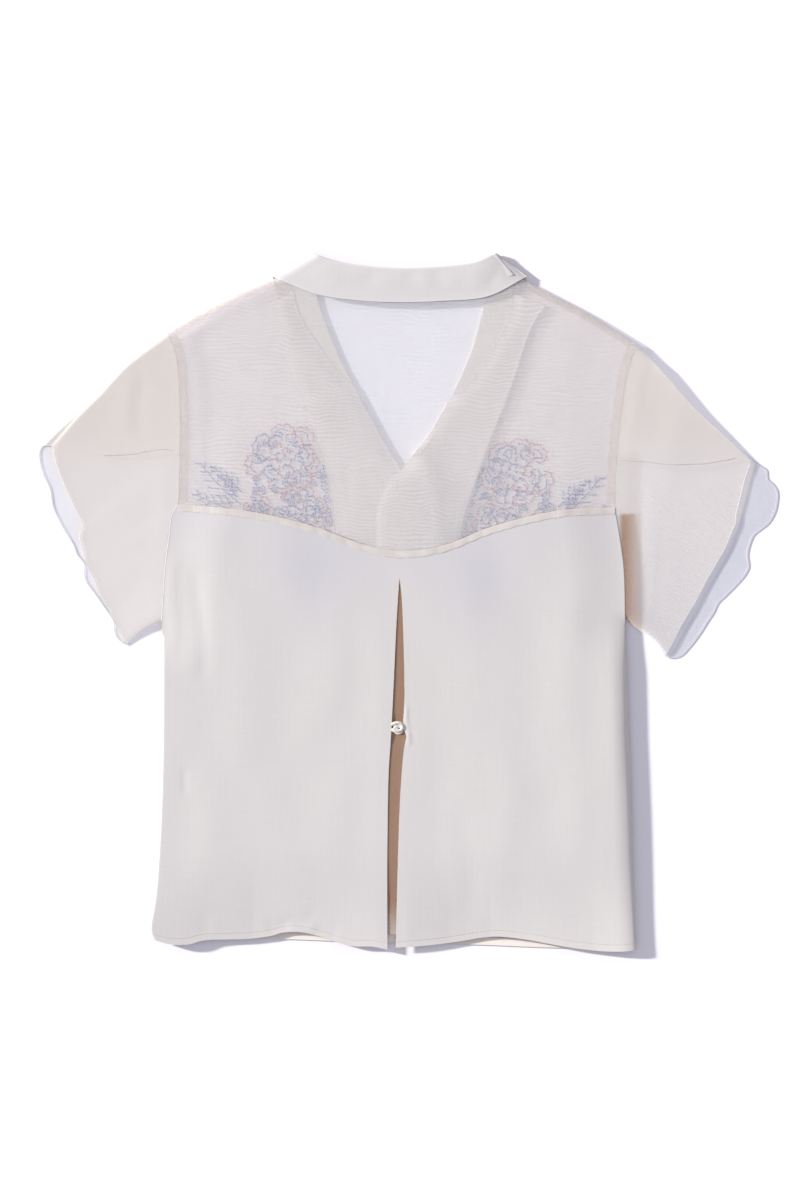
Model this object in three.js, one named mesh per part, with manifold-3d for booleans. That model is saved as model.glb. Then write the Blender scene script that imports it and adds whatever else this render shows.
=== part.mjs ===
// A short-sleeved camp-collar shirt, laid flat on its front with the back up.
// The yoke, the sleeves and the fronts are sheer organza, the lower back and the collar are silk.
//
// Units are millimetres. +X is to the right of someone looking down at the back, +Y runs from the
// hem to the neck, and +Z is up from the surface. The wearer's left is on the -X side.
// Layers from the surface up: collar leaf, lapels and front buttons; fronts; facings; back; collar.

import * as THREE from 'three';
import { mergeVertices } from 'three/addons/utils/BufferGeometryUtils.js';
import Module from 'manifold-3d';

// ---------------------------------------------------------------- driving dimensions

const CLOTH = 1.0; // wall of every cloth piece
const SEAM_GAP = 0.3; // between neighbouring pieces
const LAYER = CLOTH + SEAM_GAP; // rise from one layer to the next

const BACK_LOFT = 4.9; // underside of the back above the surface
const EDGE_ROUNDING = 14; // width over which the two layers close at a seamed edge
const FRONT_EDGE_RISE = 2.3; // underside of the front where it meets the back at a side seam
const BACK_EDGE_RISE = FRONT_EDGE_RISE + LAYER;

const BUTTON = {
  radius: 5.1, thickness: 1.5, bevel: 0.4, rim: 1.0, slope: 0.5, dish: 0.4,
  hole: 0.75, holeOffset: 0.95, sides: 16,
};
const FRONT_BUTTONS = { count: 4, first: 98, pitch: 100 };
const BUTTON_RAISE = BUTTON.thickness + SEAM_GAP; // the fronts pass over the front buttons

// Where the layers rise: over the collar leaf and lapels, over the front buttons, and along the
// centre, where the back passes over the lapped fronts. Widths are from the neckline or centre line.
const NECK_RISE = { height: LAYER, flat: 68, end: 98 };
const BUTTON_STRIP = { height: BUTTON_RAISE, flat: 26, end: 62, low: -240, high: 118, fade: 60 };
const CENTRE_STRIP = { height: 2.1, flat: 41, end: 88, low: -400, high: 148, fade: 60 };
const LAP_STEP = { start: 7, end: 48 }; // the right front steps down beside the left one
const CENTRE_LINE_TOP = 90; // the centre line slants up to here, then runs straight up

// Seam allowances: their widths, the stretch of the seam that shows each one, and how far a shoulder's
// strip leans inwards for its width.
const SEAM_STRIP = { yoke: 6.2, armhole: 5.4, shoulder: 5.2, lean: 0.45 };
const ARMHOLE_STRETCH = [0.02, 1];
const SHOULDER_STRETCH = [0.08, 0.84];

const BACK_BUTTON = { x: -9.3, y: -124.2 };
const LOOP = { radius: 1.5, sides: 8, steps: 26 };

// ---------------------------------------------------------------- outlines, rows of [x, y]

// Back and front share their side seams, from the hem up to the underarm.
const SIDE_LEFT = [[-248, -328], [-251, -319], [-246, -285], [-240, -180], [-238.5, -20]];
const SIDE_RIGHT = [[221, -338], [218.5, -280], [215.5, -160], [212, -60], [210.5, -17]];

// Armholes: the scye of the lower panels from the underarm up to the yoke seam, and then the yoke's
// own armhole up to the shoulder point.
const SCYE_LEFT = [[-238.5, -20], [-234.6, 36], [-231.5, 60], [-228, 84], [-222.5, 94]];
const SCYE_RIGHT = [[210.5, -17], [209, 34], [200.5, 91]];
const ARMHOLE_LEFT = [[-222.5, 94], [-221, 144], [-221.5, 200], [-226, 243], [-234, 260]];
const ARMHOLE_RIGHT = [[200.5, 91], [202.5, 144], [207.5, 190], [213, 224], [222, 249]];

// Shoulders from the shoulder point to the neck, and the back neck seam between them.
const SHOULDER_LEFT = [[-234, 260], [-178, 292], [-142, 308], [-115, 318]];
const SHOULDER_RIGHT = [[222, 249], [170, 281], [128, 303], [104, 316]];
const NECK_BACK = [[-115, 318], [-60, 300], [-5, 295], [50, 299], [104, 316]];

// Seam of the sheer yoke to the lower back, a shallow bell that dips at the centre.
const YOKE_SEAM = [
  [-222.5, 94], [-156, 87.5], [-95, 73.5], [-40, 54], [-8, 48.5],
  [34, 54], [82, 72.5], [147, 88], [200.5, 91],
];

// The slit between the two lower back panels, from the hem up to its apex under the yoke seam.
const SLIT_LEFT = [[-20, -337], [-20, -240], [-15.5, -125], [-11, -20], [-8.3, 22]];
const SLIT_RIGHT = [[-12, -336], [-9.5, -240], [-4, -125], [-5, -20], [-7.9, 22]];

// Hems.
const BACK_HEM_LEFT = [
  [-248, -328], [-232, -331.5], [-163, -323.5], [-115, -319.5], [-60, -328], [-20, -337],
];
const BACK_HEM_RIGHT = [[-12, -336], [30, -333], [78, -325], [150, -333], [221, -338]];
const FRONT_HEM_LEFT = [[-248, -328], [-180, -326], [-110, -325.5], [-40, -330], [1, -332]];
const FRONT_HEM_RIGHT = [[-36, -331], [60, -333.5], [140, -336.5], [221, -338]];

// Front edges: the lap from the hem up to the break of the lapel, the V up to the notch where the
// collar begins, and the neck seam up to the shoulder.
const LAP_LEFT = [[1, -332], [4, -203], [7, -60], [9, 60], [8, 96], [3, 113], [-7, 127]];
const LAP_RIGHT = [[-36, -331], [-34, -203], [-32, -60], [-30.5, 60], [-28.5, 93], [-18, 116], [-7, 127]];
const V_LEFT = [[-7, 127], [-20.5, 150], [-40, 188], [-50, 207]];
const V_RIGHT = [[-7, 127], [18.5, 159], [34, 184], [41, 197]];
const NECK_LEFT = [[-50, 207], [-69, 224], [-88, 250], [-106, 280], [-115, 318]];
const NECK_RIGHT = [[41, 197], [50.5, 203], [67, 221], [82.5, 246], [99, 279], [104, 316]];

// Facings: the free outer edge from the hem up to its top corner below the shoulder. Each facing
// follows the neck seam up to neckEnd.
const FACING_LEFT = {
  outer: [[-74, -318], [-72, -60], [-70, 72], [-82, 142], [-111, 221], [-131, 288]],
  neckEnd: 0.86,
};
const FACING_RIGHT = {
  outer: [[46, -324], [46, -60], [50, 62], [70, 130], [99, 205], [121, 268], [133, 286]],
  neckEnd: 0.87,
};

// Lapels, folded under the fronts. start and end are places along the V, foot and tip are corners.
const LAPEL_LEFT = { start: 0.16, end: 0.91, foot: [-19, 135], tip: [-104, 188] };
const LAPEL_RIGHT = { start: 0.2, end: 0.93, foot: [8, 134], tip: [96, 176] };

// Collar: the roll line and the outer edge of the leaf. The back stretch runs from the left
// shoulder crease to the right one, the front stretches from the collar's end up to the crease.
const ROLL_BACK = [
  [-92.5, 337.5], [-69, 330], [-40, 325.5], [-6, 323.7], [34, 325.5], [62, 329], [85.5, 337.5],
];
const LEAF_BACK = [
  [-131.5, 314.5], [-86, 297], [-47, 291.3], [-7, 289.7], [34, 291], [77, 295.3], [115, 314.5],
];
const ROLL_LEFT = [[-54, 216], [-60, 228], [-76, 266], [-84, 297], [-92.5, 337.5]];
const ROLL_RIGHT = [[46, 206.5], [50.5, 215], [63, 243.5], [75, 292], [85.5, 337.5]];
const LEAF_LEFT = [[-112, 201], [-126, 232], [-132, 272], [-131.5, 314.5]];
const LEAF_RIGHT = [[103, 192], [113, 222], [117, 262], [115, 314.5]];
const COLLAR_END = { left: 0.1, right: 0.075 }; // where the collar stops, along the neck seams

// Sleeves: the top fold from the shoulder to the hem, the underarm seam, and the hem of each layer
// from top to underarm. The lower layer's sheer edge ripples out beyond the upper one.
const SLEEVE_LEFT = {
  top: [[-234, 260], [-299, 200], [-344, 149]],
  underarm: [[-238.5, -20], [-256, -29], [-274.5, -43.5]],
  upperHem: [[-344, 149], [-332.5, 117], [-316, 73], [-318, 58], [-305, 28], [-290, -12], [-274.5, -43.5]],
  lowerHem: [
    [-344, 149], [-356.5, 140], [-351, 116], [-343.5, 92], [-325.5, 59], [-313, 27], [-304, 8],
    [-287, -16], [-274.5, -43.5],
  ],
};
const SLEEVE_RIGHT = {
  top: [[222, 249], [276, 190], [331, 138]],
  underarm: [[210.5, -17], [225, -42], [247.5, -54]],
  upperHem: [[331, 138], [317, 98], [309.5, 72], [298, 40], [283, 15], [264, -18], [247.5, -54]],
  lowerHem: [
    [331, 138], [347, 122], [357, 103], [353, 84], [331, 57], [328, 33], [304, -2], [284, -29],
    [262, -52], [247.5, -54],
  ],
};

// ---------------------------------------------------------------- curves and patches

const wasm = await Module();
wasm.setup();

const smoothCurve = (rows) => {
  const points = rows.map(([x, y]) => new THREE.Vector3(x, y, 0));
  return new THREE.CatmullRomCurve3(points, false, 'centripetal');
};

// An edge is a function of t from 0 to 1. Several lists are joined end to end.
const edge = (...lists) => {
  const path = new THREE.CurvePath();
  lists.forEach((rows) => path.add(smoothCurve(rows)));
  return (t) => path.getPoint(THREE.MathUtils.clamp(t, 0, 1));
};

const part = (whole, from, to) => (t) => whole(from + (to - from) * t);
const straight = (from, to) => (t) => from.clone().lerp(to, t);
const shifted = (whole, dx, dy) => (t) => whole(t).add(new THREE.Vector3(dx, dy, 0));
const reversed = (rows) => [...rows].reverse();
const place = ([x, y]) => new THREE.Vector3(x, y, 0);

// A point of a four-sided panel from its four edges. u runs from left to right, v from bottom up.
const panel = ({ bottom, top, left, right }) => (u, v) => {
  const blend = (a, b, t) => a.clone().lerp(b, t);
  const across = blend(bottom(u), top(u), v);
  const along = blend(left(v), right(v), u);
  const corners = blend(blend(bottom(0), bottom(1), u), blend(top(0), top(1), u), v);
  return across.add(along).sub(corners);
};

// A band of the given width along an edge, on the side that dx, dy point to.
const band = (whole, dx, dy) => (u, v) => whole(u).add(new THREE.Vector3(dx * v, dy * v, 0));

const smoothstep = (low, high, value) => THREE.MathUtils.smoothstep(value, low, high);

// 0 at a closed edge, 1 from the given width inwards, along a quarter of an ellipse.
const rounding = (distance, width) => {
  const t = 1 - THREE.MathUtils.clamp(distance / width, 0, 1);
  return Math.sqrt(1 - t * t);
};

const distanceTo = (points, x, y) => {
  const target = new THREE.Vector3(x, y, 0);
  const nearest = new THREE.Vector3();
  let least = Infinity;
  for (let i = 1; i < points.length; i += 1) {
    new THREE.Line3(points[i - 1], points[i]).closestPointToPoint(target, true, nearest);
    least = Math.min(least, nearest.distanceTo(target));
  }
  return least;
};

// x of a list that climbs in y, read at one height.
const readAt = (rows, y) => {
  const last = rows.length - 1;
  if (y <= rows[0][1]) return rows[0][0];
  if (y >= rows[last][1]) return rows[last][0];
  const i = rows.findIndex((row) => row[1] > y);
  const [x0, y0] = rows[i - 1];
  const [x1, y1] = rows[i];
  return THREE.MathUtils.mapLinear(y, y0, y1, x0, x1);
};

// Places from 0 to 1: each span is [number of steps, where it ends].
const stops = (...spans) => {
  const places = [0];
  for (const [count, end] of spans) {
    const start = places.at(-1);
    for (let i = 1; i <= count; i += 1) places.push(start + ((end - start) * i) / count);
  }
  return places;
};

// ---------------------------------------------------------------- heights of the layers

const EDGE_SAMPLES = 16;
const sampled = (rows) => smoothCurve(rows).getSpacedPoints(EDGE_SAMPLES);
const closedEdges = [SIDE_LEFT, SIDE_RIGHT, SHOULDER_LEFT, SHOULDER_RIGHT].map(sampled);
const neckline = [NECK_LEFT, NECK_RIGHT, V_LEFT, V_RIGHT].map(sampled);
const leftFrontEdge = [...LAP_LEFT, ...V_LEFT.slice(1)];

const centreLine = (y) => {
  const level = Math.min(y, CENTRE_LINE_TOP);
  return (readAt(LAP_LEFT, level) + readAt(LAP_RIGHT, level)) / 2;
};

const centreRise = (x, y, { height, flat, end, low, high, fade }) => {
  const sideways = 1 - smoothstep(flat, end, Math.abs(x - centreLine(y)));
  const lengthways = smoothstep(low - fade, low, y) * (1 - smoothstep(high, high + fade, y));
  return height * sideways * lengthways;
};

const neckRise = (x, y) => {
  const distance = Math.min(...neckline.map((points) => distanceTo(points, x, y)));
  return NECK_RISE.height * (1 - smoothstep(NECK_RISE.flat, NECK_RISE.end, distance));
};

// A level is the height of a piece's underside over x, y. Towards a closed edge it goes to edgeRise.
const closing = (edgeRise, open) => (x, y) => {
  const distance = Math.min(...closedEdges.map((points) => distanceTo(points, x, y)));
  return THREE.MathUtils.lerp(edgeRise, open(x, y), rounding(distance, EDGE_ROUNDING));
};
const above = (level, rise) => (x, y) => level(x, y) + rise;

const openFront = (x, y) => Math.max(neckRise(x, y), centreRise(x, y, BUTTON_STRIP));
const frontLeftLevel = closing(FRONT_EDGE_RISE, openFront);
const frontRightLevel = closing(FRONT_EDGE_RISE, (x, y) => {
  const beside = x - readAt(leftFrontEdge, y);
  const lapped = 1 - smoothstep(LAP_STEP.start, LAP_STEP.end, beside);
  return openFront(x, y) + 2 * LAYER * lapped;
});
const backLevel = closing(BACK_EDGE_RISE, (x, y) => BACK_LOFT + centreRise(x, y, CENTRE_STRIP));

// ---------------------------------------------------------------- solids

// Turns every triangle over where a closed body would otherwise face inwards.
const facingOut = (geometry) => {
  const position = geometry.getAttribute('position');
  const index = geometry.getIndex().array;
  const [a, b, c] = [new THREE.Vector3(), new THREE.Vector3(), new THREE.Vector3()];
  let volume = 0;
  for (let i = 0; i < index.length; i += 3) {
    a.fromBufferAttribute(position, index[i]);
    b.fromBufferAttribute(position, index[i + 1]);
    c.fromBufferAttribute(position, index[i + 2]);
    volume += a.dot(b.cross(c));
  }
  if (volume < 0) {
    for (let i = 0; i < index.length; i += 3) {
      [index[i + 1], index[i + 2]] = [index[i + 2], index[i + 1]];
    }
  }
  return geometry;
};

// A closed body between two grids of points. In a ring, each row of points closes on itself.
const bodyBetween = (inner, outer, ring = false) => {
  const rows = inner.length;
  const columns = inner[0].length;
  const position = [...inner.flat(), ...outer.flat()].flatMap((p) => [p.x, p.y, p.z]);
  const near = (i, j) => i * columns + (j % columns);
  const far = (i, j) => rows * columns + near(i, j);
  const index = [];
  const quad = (a, b, c, d) => index.push(a, b, c, a, c, d);
  const spans = ring ? columns : columns - 1;
  for (let i = 0; i < rows - 1; i += 1) {
    for (let j = 0; j < spans; j += 1) {
      quad(near(i, j), near(i + 1, j), near(i + 1, j + 1), near(i, j + 1));
      quad(far(i, j), far(i, j + 1), far(i + 1, j + 1), far(i + 1, j));
    }
  }
  for (let j = 0; j < spans; j += 1) {
    quad(near(0, j), near(0, j + 1), far(0, j + 1), far(0, j));
    quad(near(rows - 1, j + 1), near(rows - 1, j), far(rows - 1, j), far(rows - 1, j + 1));
  }
  for (let i = 0; i < rows - 1 && !ring; i += 1) {
    quad(near(i + 1, 0), near(i, 0), far(i, 0), far(i + 1, 0));
    quad(near(i, columns - 1), near(i + 1, columns - 1), far(i + 1, columns - 1), far(i, columns - 1));
  }
  const geometry = new THREE.BufferGeometry();
  geometry.setAttribute('position', new THREE.Float32BufferAttribute(position, 3));
  geometry.setIndex(index);
  return facingOut(geometry);
};

// A cloth wall over a panel, from its underside level up. topLevel is given where it isn't CLOTH.
const cloth = (point, level, columns, rows, topLevel = above(level, CLOTH)) => {
  const face = (height) => rows.map((v) => columns.map((u) => {
    const { x, y } = point(u, v);
    return new THREE.Vector3(x, y, height(x, y));
  }));
  return bodyBetween(face(level), face(topLevel));
};

const toManifold = (geometry) => {
  geometry.deleteAttribute('normal');
  geometry.deleteAttribute('uv');
  const merged = mergeVertices(geometry, 1e-4);
  return new wasm.Manifold(new wasm.Mesh({
    numProp: 3,
    vertProperties: new Float32Array(merged.getAttribute('position').array),
    triVerts: new Uint32Array(merged.getIndex().array),
  }));
};

const fromManifold = (body) => {
  const { vertProperties, triVerts } = body.getMesh();
  const geometry = new THREE.BufferGeometry();
  geometry.setAttribute('position', new THREE.Float32BufferAttribute(vertProperties, 3));
  geometry.setIndex([...triVerts]);
  return geometry;
};

const joined = (...geometries) => fromManifold(
  geometries.map(toManifold).reduce((whole, body) => whole.add(body)),
);

// ---------------------------------------------------------------- pieces and finishes

const finish = (color, roughness) => new THREE.MeshStandardMaterial({ color, roughness, metalness: 0 });
const ORGANZA = finish(0xe9e4de, 0.6);
const SILK = finish(0xdedad6, 0.55);
const FACING = finish(0xd9d3cb, 0.6);
const SEAM = finish(0xece5da, 0.6);
const CORD = finish(0xe8e6d8, 0.5);
const PEARL = finish(0xf0f0f4, 0.25);

const shirt = new THREE.Group();
const piece = (name, geometry, material) => {
  const mesh = new THREE.Mesh(geometry, material);
  mesh.name = name;
  shirt.add(mesh);
};

// ---------------------------------------------------------------- fronts

const EASE = 0.0014; // about a seam gap, as a fraction of a panel's width or height
const FRONT_ROWS = stops([7, 0.56], [18, 1 - EASE]);
const WRAP_GAP = 0.4;
const WRAP = CLOTH + WRAP_GAP; // the facings wrap the V edges of the fronts

const frontLeft = panel({
  bottom: edge(FRONT_HEM_LEFT),
  top: edge(SHOULDER_LEFT),
  left: edge(SIDE_LEFT, SCYE_LEFT, ARMHOLE_LEFT),
  right: edge(LAP_LEFT, V_LEFT.map(([x, y]) => [x - WRAP, y]), NECK_LEFT),
});
const frontRight = panel({
  bottom: edge(FRONT_HEM_RIGHT),
  top: edge(reversed(SHOULDER_RIGHT)),
  left: edge(LAP_RIGHT, V_RIGHT.map(([x, y]) => [x + WRAP, y]), NECK_RIGHT),
  right: edge(SIDE_RIGHT, SCYE_RIGHT, ARMHOLE_RIGHT),
});
const fromLap = stops([6, 0.27], [7, 1 - EASE]); // closer together over the lap
const toLap = reversed(fromLap).map((u) => 1 - EASE - u);
piece('front_left', cloth(frontLeft, frontLeftLevel, toLap, FRONT_ROWS), ORGANZA);
piece('front_right', cloth(frontRight, frontRightLevel, fromLap.map((u) => u + EASE), FRONT_ROWS), ORGANZA);

// ---------------------------------------------------------------- facings, with the lapels they turn to

const neckLeft = edge(NECK_LEFT);
const neckRight = edge(NECK_RIGHT);

// The facing lies on the front, wraps its V edge and lies under it again as the lapel.
const HEM_START = 0.012; // where a facing begins along the front edge, clear of the hem
const SPREAD = [-9, 0, 9]; // a facing keeps clear of the front this far to each side
const facing = ({ outer, neckEnd, lap, vEdge, neck, lapel, side, level }) => {
  const outerEdge = edge(outer);
  const inner = edge(lap, vEdge, neck);
  const lapLength = smoothCurve(lap).getLength();
  const vLength = smoothCurve(vEdge).getLength();
  const neckLength = smoothCurve(neck).getLength();
  const total = lapLength + vLength + neckLength;
  const innerEnd = (lapLength + vLength + neckLength * neckEnd) / total;
  const innerEdge = part(inner, HEM_START, innerEnd);
  const corner = { low: innerEdge(0), high: innerEdge(1) };
  const over = panel({
    bottom: straight(outerEdge(0), corner.low),
    top: straight(outerEdge(1), corner.high),
    left: outerEdge,
    right: innerEdge,
  });
  const roll = part(edge(vEdge), lapel.start, lapel.end);
  const under = panel({
    bottom: straight(place(lapel.foot), roll(0)),
    top: straight(place(lapel.tip), roll(1)),
    left: straight(place(lapel.foot), place(lapel.tip)),
    right: roll,
  });
  const ground = () => 0;
  const overLevel = (x, y) => LAYER + Math.max(...SPREAD.map((dx) => level(x + dx, y)));
  return joined(
    cloth(over, overLevel, stops([7, 1]), stops([7, 0.58], [14, 1])),
    cloth(under, ground, stops([3, 1]), stops([5, 1])),
    cloth(band(roll, -side * CLOTH, 0), ground, stops([6, 1]), stops([1, 1]), above(overLevel, CLOTH)),
  );
};
piece('facing_left', facing({
  ...FACING_LEFT,
  lap: LAP_LEFT,
  vEdge: V_LEFT,
  neck: NECK_LEFT,
  lapel: LAPEL_LEFT,
  side: 1,
  level: frontLeftLevel,
}), FACING);
piece('facing_right', facing({
  ...FACING_RIGHT,
  lap: LAP_RIGHT,
  vEdge: V_RIGHT,
  neck: NECK_RIGHT,
  lapel: LAPEL_RIGHT,
  side: -1,
  level: frontRightLevel,
}), FACING);

// ---------------------------------------------------------------- back: sheer yoke, two lower panels

const SEAM_COLUMNS = 20; // even, so that the slit falls between the two halves
const yokeSeam = edge(YOKE_SEAM);
const halfSeam = 0.5;
const seamStops = stops([SEAM_COLUMNS, 1]);

const yoke = panel({
  bottom: yokeSeam,
  top: edge(SHOULDER_LEFT, NECK_BACK, reversed(SHOULDER_RIGHT)),
  left: edge(ARMHOLE_LEFT),
  right: edge(ARMHOLE_RIGHT),
});
const yokeStops = seamStops.map((u) => THREE.MathUtils.mapLinear(u, 0, 1, EASE / 2, 1 - EASE / 2));
const yokeRows = stops([9, 1 - EASE]).map((v) => v + EASE / 2);
piece('back_yoke', cloth(yoke, backLevel, yokeStops, yokeRows), ORGANZA);

const centreBack = yokeSeam(halfSeam);
const slitTo = (rows) => edge(rows, [rows.at(-1), [centreBack.x, centreBack.y]]);
const backLeft = panel({
  bottom: edge(BACK_HEM_LEFT),
  top: part(yokeSeam, 0, halfSeam),
  left: edge(SIDE_LEFT, SCYE_LEFT),
  right: slitTo(SLIT_LEFT),
});
const backRight = panel({
  bottom: edge(BACK_HEM_RIGHT),
  top: part(yokeSeam, halfSeam, 1),
  left: slitTo(SLIT_RIGHT),
  right: edge(SIDE_RIGHT, SCYE_RIGHT),
});
const backStops = stops([SEAM_COLUMNS / 2, 1 - EASE]);
const backRows = stops([16, 1 - EASE / 2]);
piece('back_left', cloth(backLeft, backLevel, backStops, backRows), SILK);
piece('back_right', cloth(backRight, backLevel, backStops.map((u) => u + EASE), backRows), SILK);

// ---------------------------------------------------------------- seam allowances on the back

const onBack = above(backLevel, LAYER);
const single = stops([1, 1]);
const strip = (name, whole, dx, dy, along) => {
  piece(name, cloth(band(whole, dx, dy), onBack, along, single), SEAM);
};
strip('yoke_seam', yokeSeam, 0, -SEAM_STRIP.yoke, seamStops);
for (const [side, armhole, shoulder, inward] of [
  ['left', ARMHOLE_LEFT, SHOULDER_LEFT, 1],
  ['right', ARMHOLE_RIGHT, SHOULDER_RIGHT, -1],
]) {
  const armholeSeam = part(edge(armhole), ...ARMHOLE_STRETCH);
  const shoulderSeam = part(edge(shoulder), ...SHOULDER_STRETCH);
  const lean = inward * SEAM_STRIP.shoulder * SEAM_STRIP.lean;
  strip(`armhole_seam_${side}`, armholeSeam, inward * SEAM_STRIP.armhole, 0, stops([10, 1]));
  strip(`shoulder_seam_${side}`, shoulderSeam, lean, -SEAM_STRIP.shoulder, stops([6, 1]));
}

// ---------------------------------------------------------------- collar

// One band round the neck. Its stand rises from the neck seam to the roll line, and its leaf folds
// down outside the stand: over the yoke at the back, and under the fronts at the front. At each
// shoulder the flattened band turns from the upper level to the lower one along a crease.
const COLLAR = {
  middle: (BACK_LOFT + CLOTH + CLOTH + SEAM_GAP) / 2, // halfway between the surface and the leaf
  standReach: 1.8, // from the middle level to the stand's mid-plane
  leafReach: 3.1,
  standInset: 1.9, // the stand turns this far inside the leaf at a shoulder crease
  roll: 1.15,
  clear: { x: 0.6, y: 0.5 }, // from the neck seam
};
const FRONT = -1;
const BACK = 1;

const clearOfSeam = (inward) => new THREE.Vector3(COLLAR.clear.x * inward, COLLAR.clear.y, 0);

const collarRows = () => {
  const rollBack = edge(ROLL_BACK);
  const seamBack = edge(NECK_BACK);
  const leafBack = edge(LEAF_BACK);
  const creases = [0, 1].map((t) => ({ roll: rollBack(t), leaf: leafBack(t), seam: seamBack(t) }));
  const back = (t) => ({
    seam: seamBack(t).add(clearOfSeam(1 - 2 * t)),
    roll: rollBack(t),
    leaf: leafBack(t),
    side: BACK,
  });
  const front = (neck, rollRows, leafRows, end, inward) => {
    const seam = part(edge(neck), end, 1);
    const roll = edge(rollRows);
    const leaf = edge(leafRows);
    return (t) => ({
      seam: seam(t).add(clearOfSeam(inward)),
      roll: roll(t),
      leaf: leaf(t),
      side: FRONT,
    });
  };
  const left = front(NECK_LEFT, ROLL_LEFT, LEAF_LEFT, COLLAR_END.left, 1);
  const right = front(NECK_RIGHT, ROLL_RIGHT, LEAF_RIGHT, COLLAR_END.right, -1);
  // The rows of points lie closer together where the band turns at a crease.
  const towardCrease = [...stops([5, 0.93]), 0.972, 0.991];
  const betweenCreases = [0.005, 0.015, ...stops([10, 1]).slice(1, -1), 0.985, 0.995];
  return {
    creases,
    rows: [
      ...towardCrease.map(left),
      { ...back(0), side: 0 },
      ...betweenCreases.map(back),
      { ...back(1), side: 0 },
      ...[...towardCrease].reverse().map(right),
    ],
  };
};

const collar = () => {
  const { middle, standReach, leafReach, standInset, roll: rollDepth } = COLLAR;
  const { creases, rows } = collarRows();
  const near = (a, b, p) => distanceTo([a, b], p.x, p.y);
  const levelAt = (p, side, reach, far) => {
    const distance = Math.min(...creases.map((crease) => near(crease.roll, crease[far], p)));
    return middle + side * reach * rounding(distance, reach);
  };
  const points = rows.map(({ seam, roll, leaf, side }) => {
    const inward = seam.clone().sub(roll).normalize();
    const down = leaf.clone().sub(roll).normalize();
    const acrossLeaf = new THREE.Vector3(-down.y, down.x, 0);
    if (acrossLeaf.dot(inward) < 0) acrossLeaf.negate();
    const turn = side === 0 ? standInset : 0;
    const standTop = roll.clone().addScaledVector(inward, rollDepth).addScaledVector(acrossLeaf, turn);
    const leafTop = roll.clone().addScaledVector(down, rollDepth);
    const nose = roll.clone().addScaledVector(inward.add(down).normalize(), CLOTH / 2);
    nose.addScaledVector(acrossLeaf, turn / 2);
    const at = (p, reach, far) => new THREE.Vector3(p.x, p.y, levelAt(p, side, reach, far));
    const stand = [0, 0.5, 1].map((t) => at(seam.clone().lerp(standTop, t), standReach, 'seam'));
    const leafPoints = [0, 0.36, 0.7, 1].map((t) => at(leafTop.clone().lerp(leaf, t), leafReach, 'leaf'));
    nose.z = (stand.at(-1).z + leafPoints[0].z) / 2;
    return [...stand, nose, ...leafPoints];
  });
  const last = { row: points.length - 1, column: points[0].length - 1 };
  const normal = (i, j) => {
    const step = (a, b) => b.clone().sub(a);
    const along = step(points[Math.max(i - 1, 0)][j], points[Math.min(i + 1, last.row)][j]);
    const around = step(points[i][Math.max(j - 1, 0)], points[i][Math.min(j + 1, last.column)]);
    return along.cross(around).normalize();
  };
  const face = (offset) => points.map((row, i) => row.map((p, j) => (
    p.clone().addScaledVector(normal(i, j), offset)
  )));
  return bodyBetween(face(-CLOTH / 2), face(CLOTH / 2));
};
piece('collar', collar(), SILK);

// ---------------------------------------------------------------- sleeves

// Each sleeve is a flattened tube, open at the armhole and the hem.
const SLEEVE_GAP = 3 * SEAM_GAP; // the armholes curve, so a sleeve stands off a little more
const LAYER_STEPS = 17; // points round each layer of a sleeve
const sleeve = (side, { top, underarm, upperHem, lowerHem }, scye, armhole) => {
  const outward = side * SLEEVE_GAP;
  const edges = {
    top: shifted(edge(top), outward, 0),
    bottom: shifted(edge(underarm), outward, 0),
    left: shifted(edge(scye, armhole), outward, 0),
  };
  const layers = {
    upper: panel({ ...edges, right: shifted(edge(reversed(upperHem)), outward, 0) }),
    lower: panel({ ...edges, right: shifted(edge(reversed(lowerHem)), outward, 0) }),
  };
  const middle = (BACK_LOFT + CLOTH) / 2;
  const ring = (u, inset) => {
    const depth = layers.upper(u, 0).distanceTo(layers.upper(u, 1));
    const place3d = (layer, up, v) => {
      const held = THREE.MathUtils.mapLinear(v, 0, 1, inset / depth, 1 - inset / depth);
      const fromFold = Math.min(v, 1 - v) * (depth - 2 * inset);
      const open = rounding(fromFold, EDGE_ROUNDING - inset);
      const point = layer(u, held);
      point.z = middle + up * (middle - inset) * open;
      return point;
    };
    const spread = (k) => (1 - Math.cos((Math.PI * k) / LAYER_STEPS)) / 2;
    const steps = Array.from({ length: LAYER_STEPS }, (_, k) => k);
    return [
      ...steps.map((k) => place3d(layers.upper, 1, spread(k))),
      ...steps.map((k) => place3d(layers.lower, -1, spread(LAYER_STEPS - k))),
    ];
  };
  const along = stops([6, 1]);
  return bodyBetween(along.map((u) => ring(u, CLOTH)), along.map((u) => ring(u, 0)), true);
};
piece('sleeve_left', sleeve(-1, SLEEVE_LEFT, SCYE_LEFT, ARMHOLE_LEFT), ORGANZA);
piece('sleeve_right', sleeve(1, SLEEVE_RIGHT, SCYE_RIGHT, ARMHOLE_RIGHT), ORGANZA);

// ---------------------------------------------------------------- buttons and loop

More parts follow.
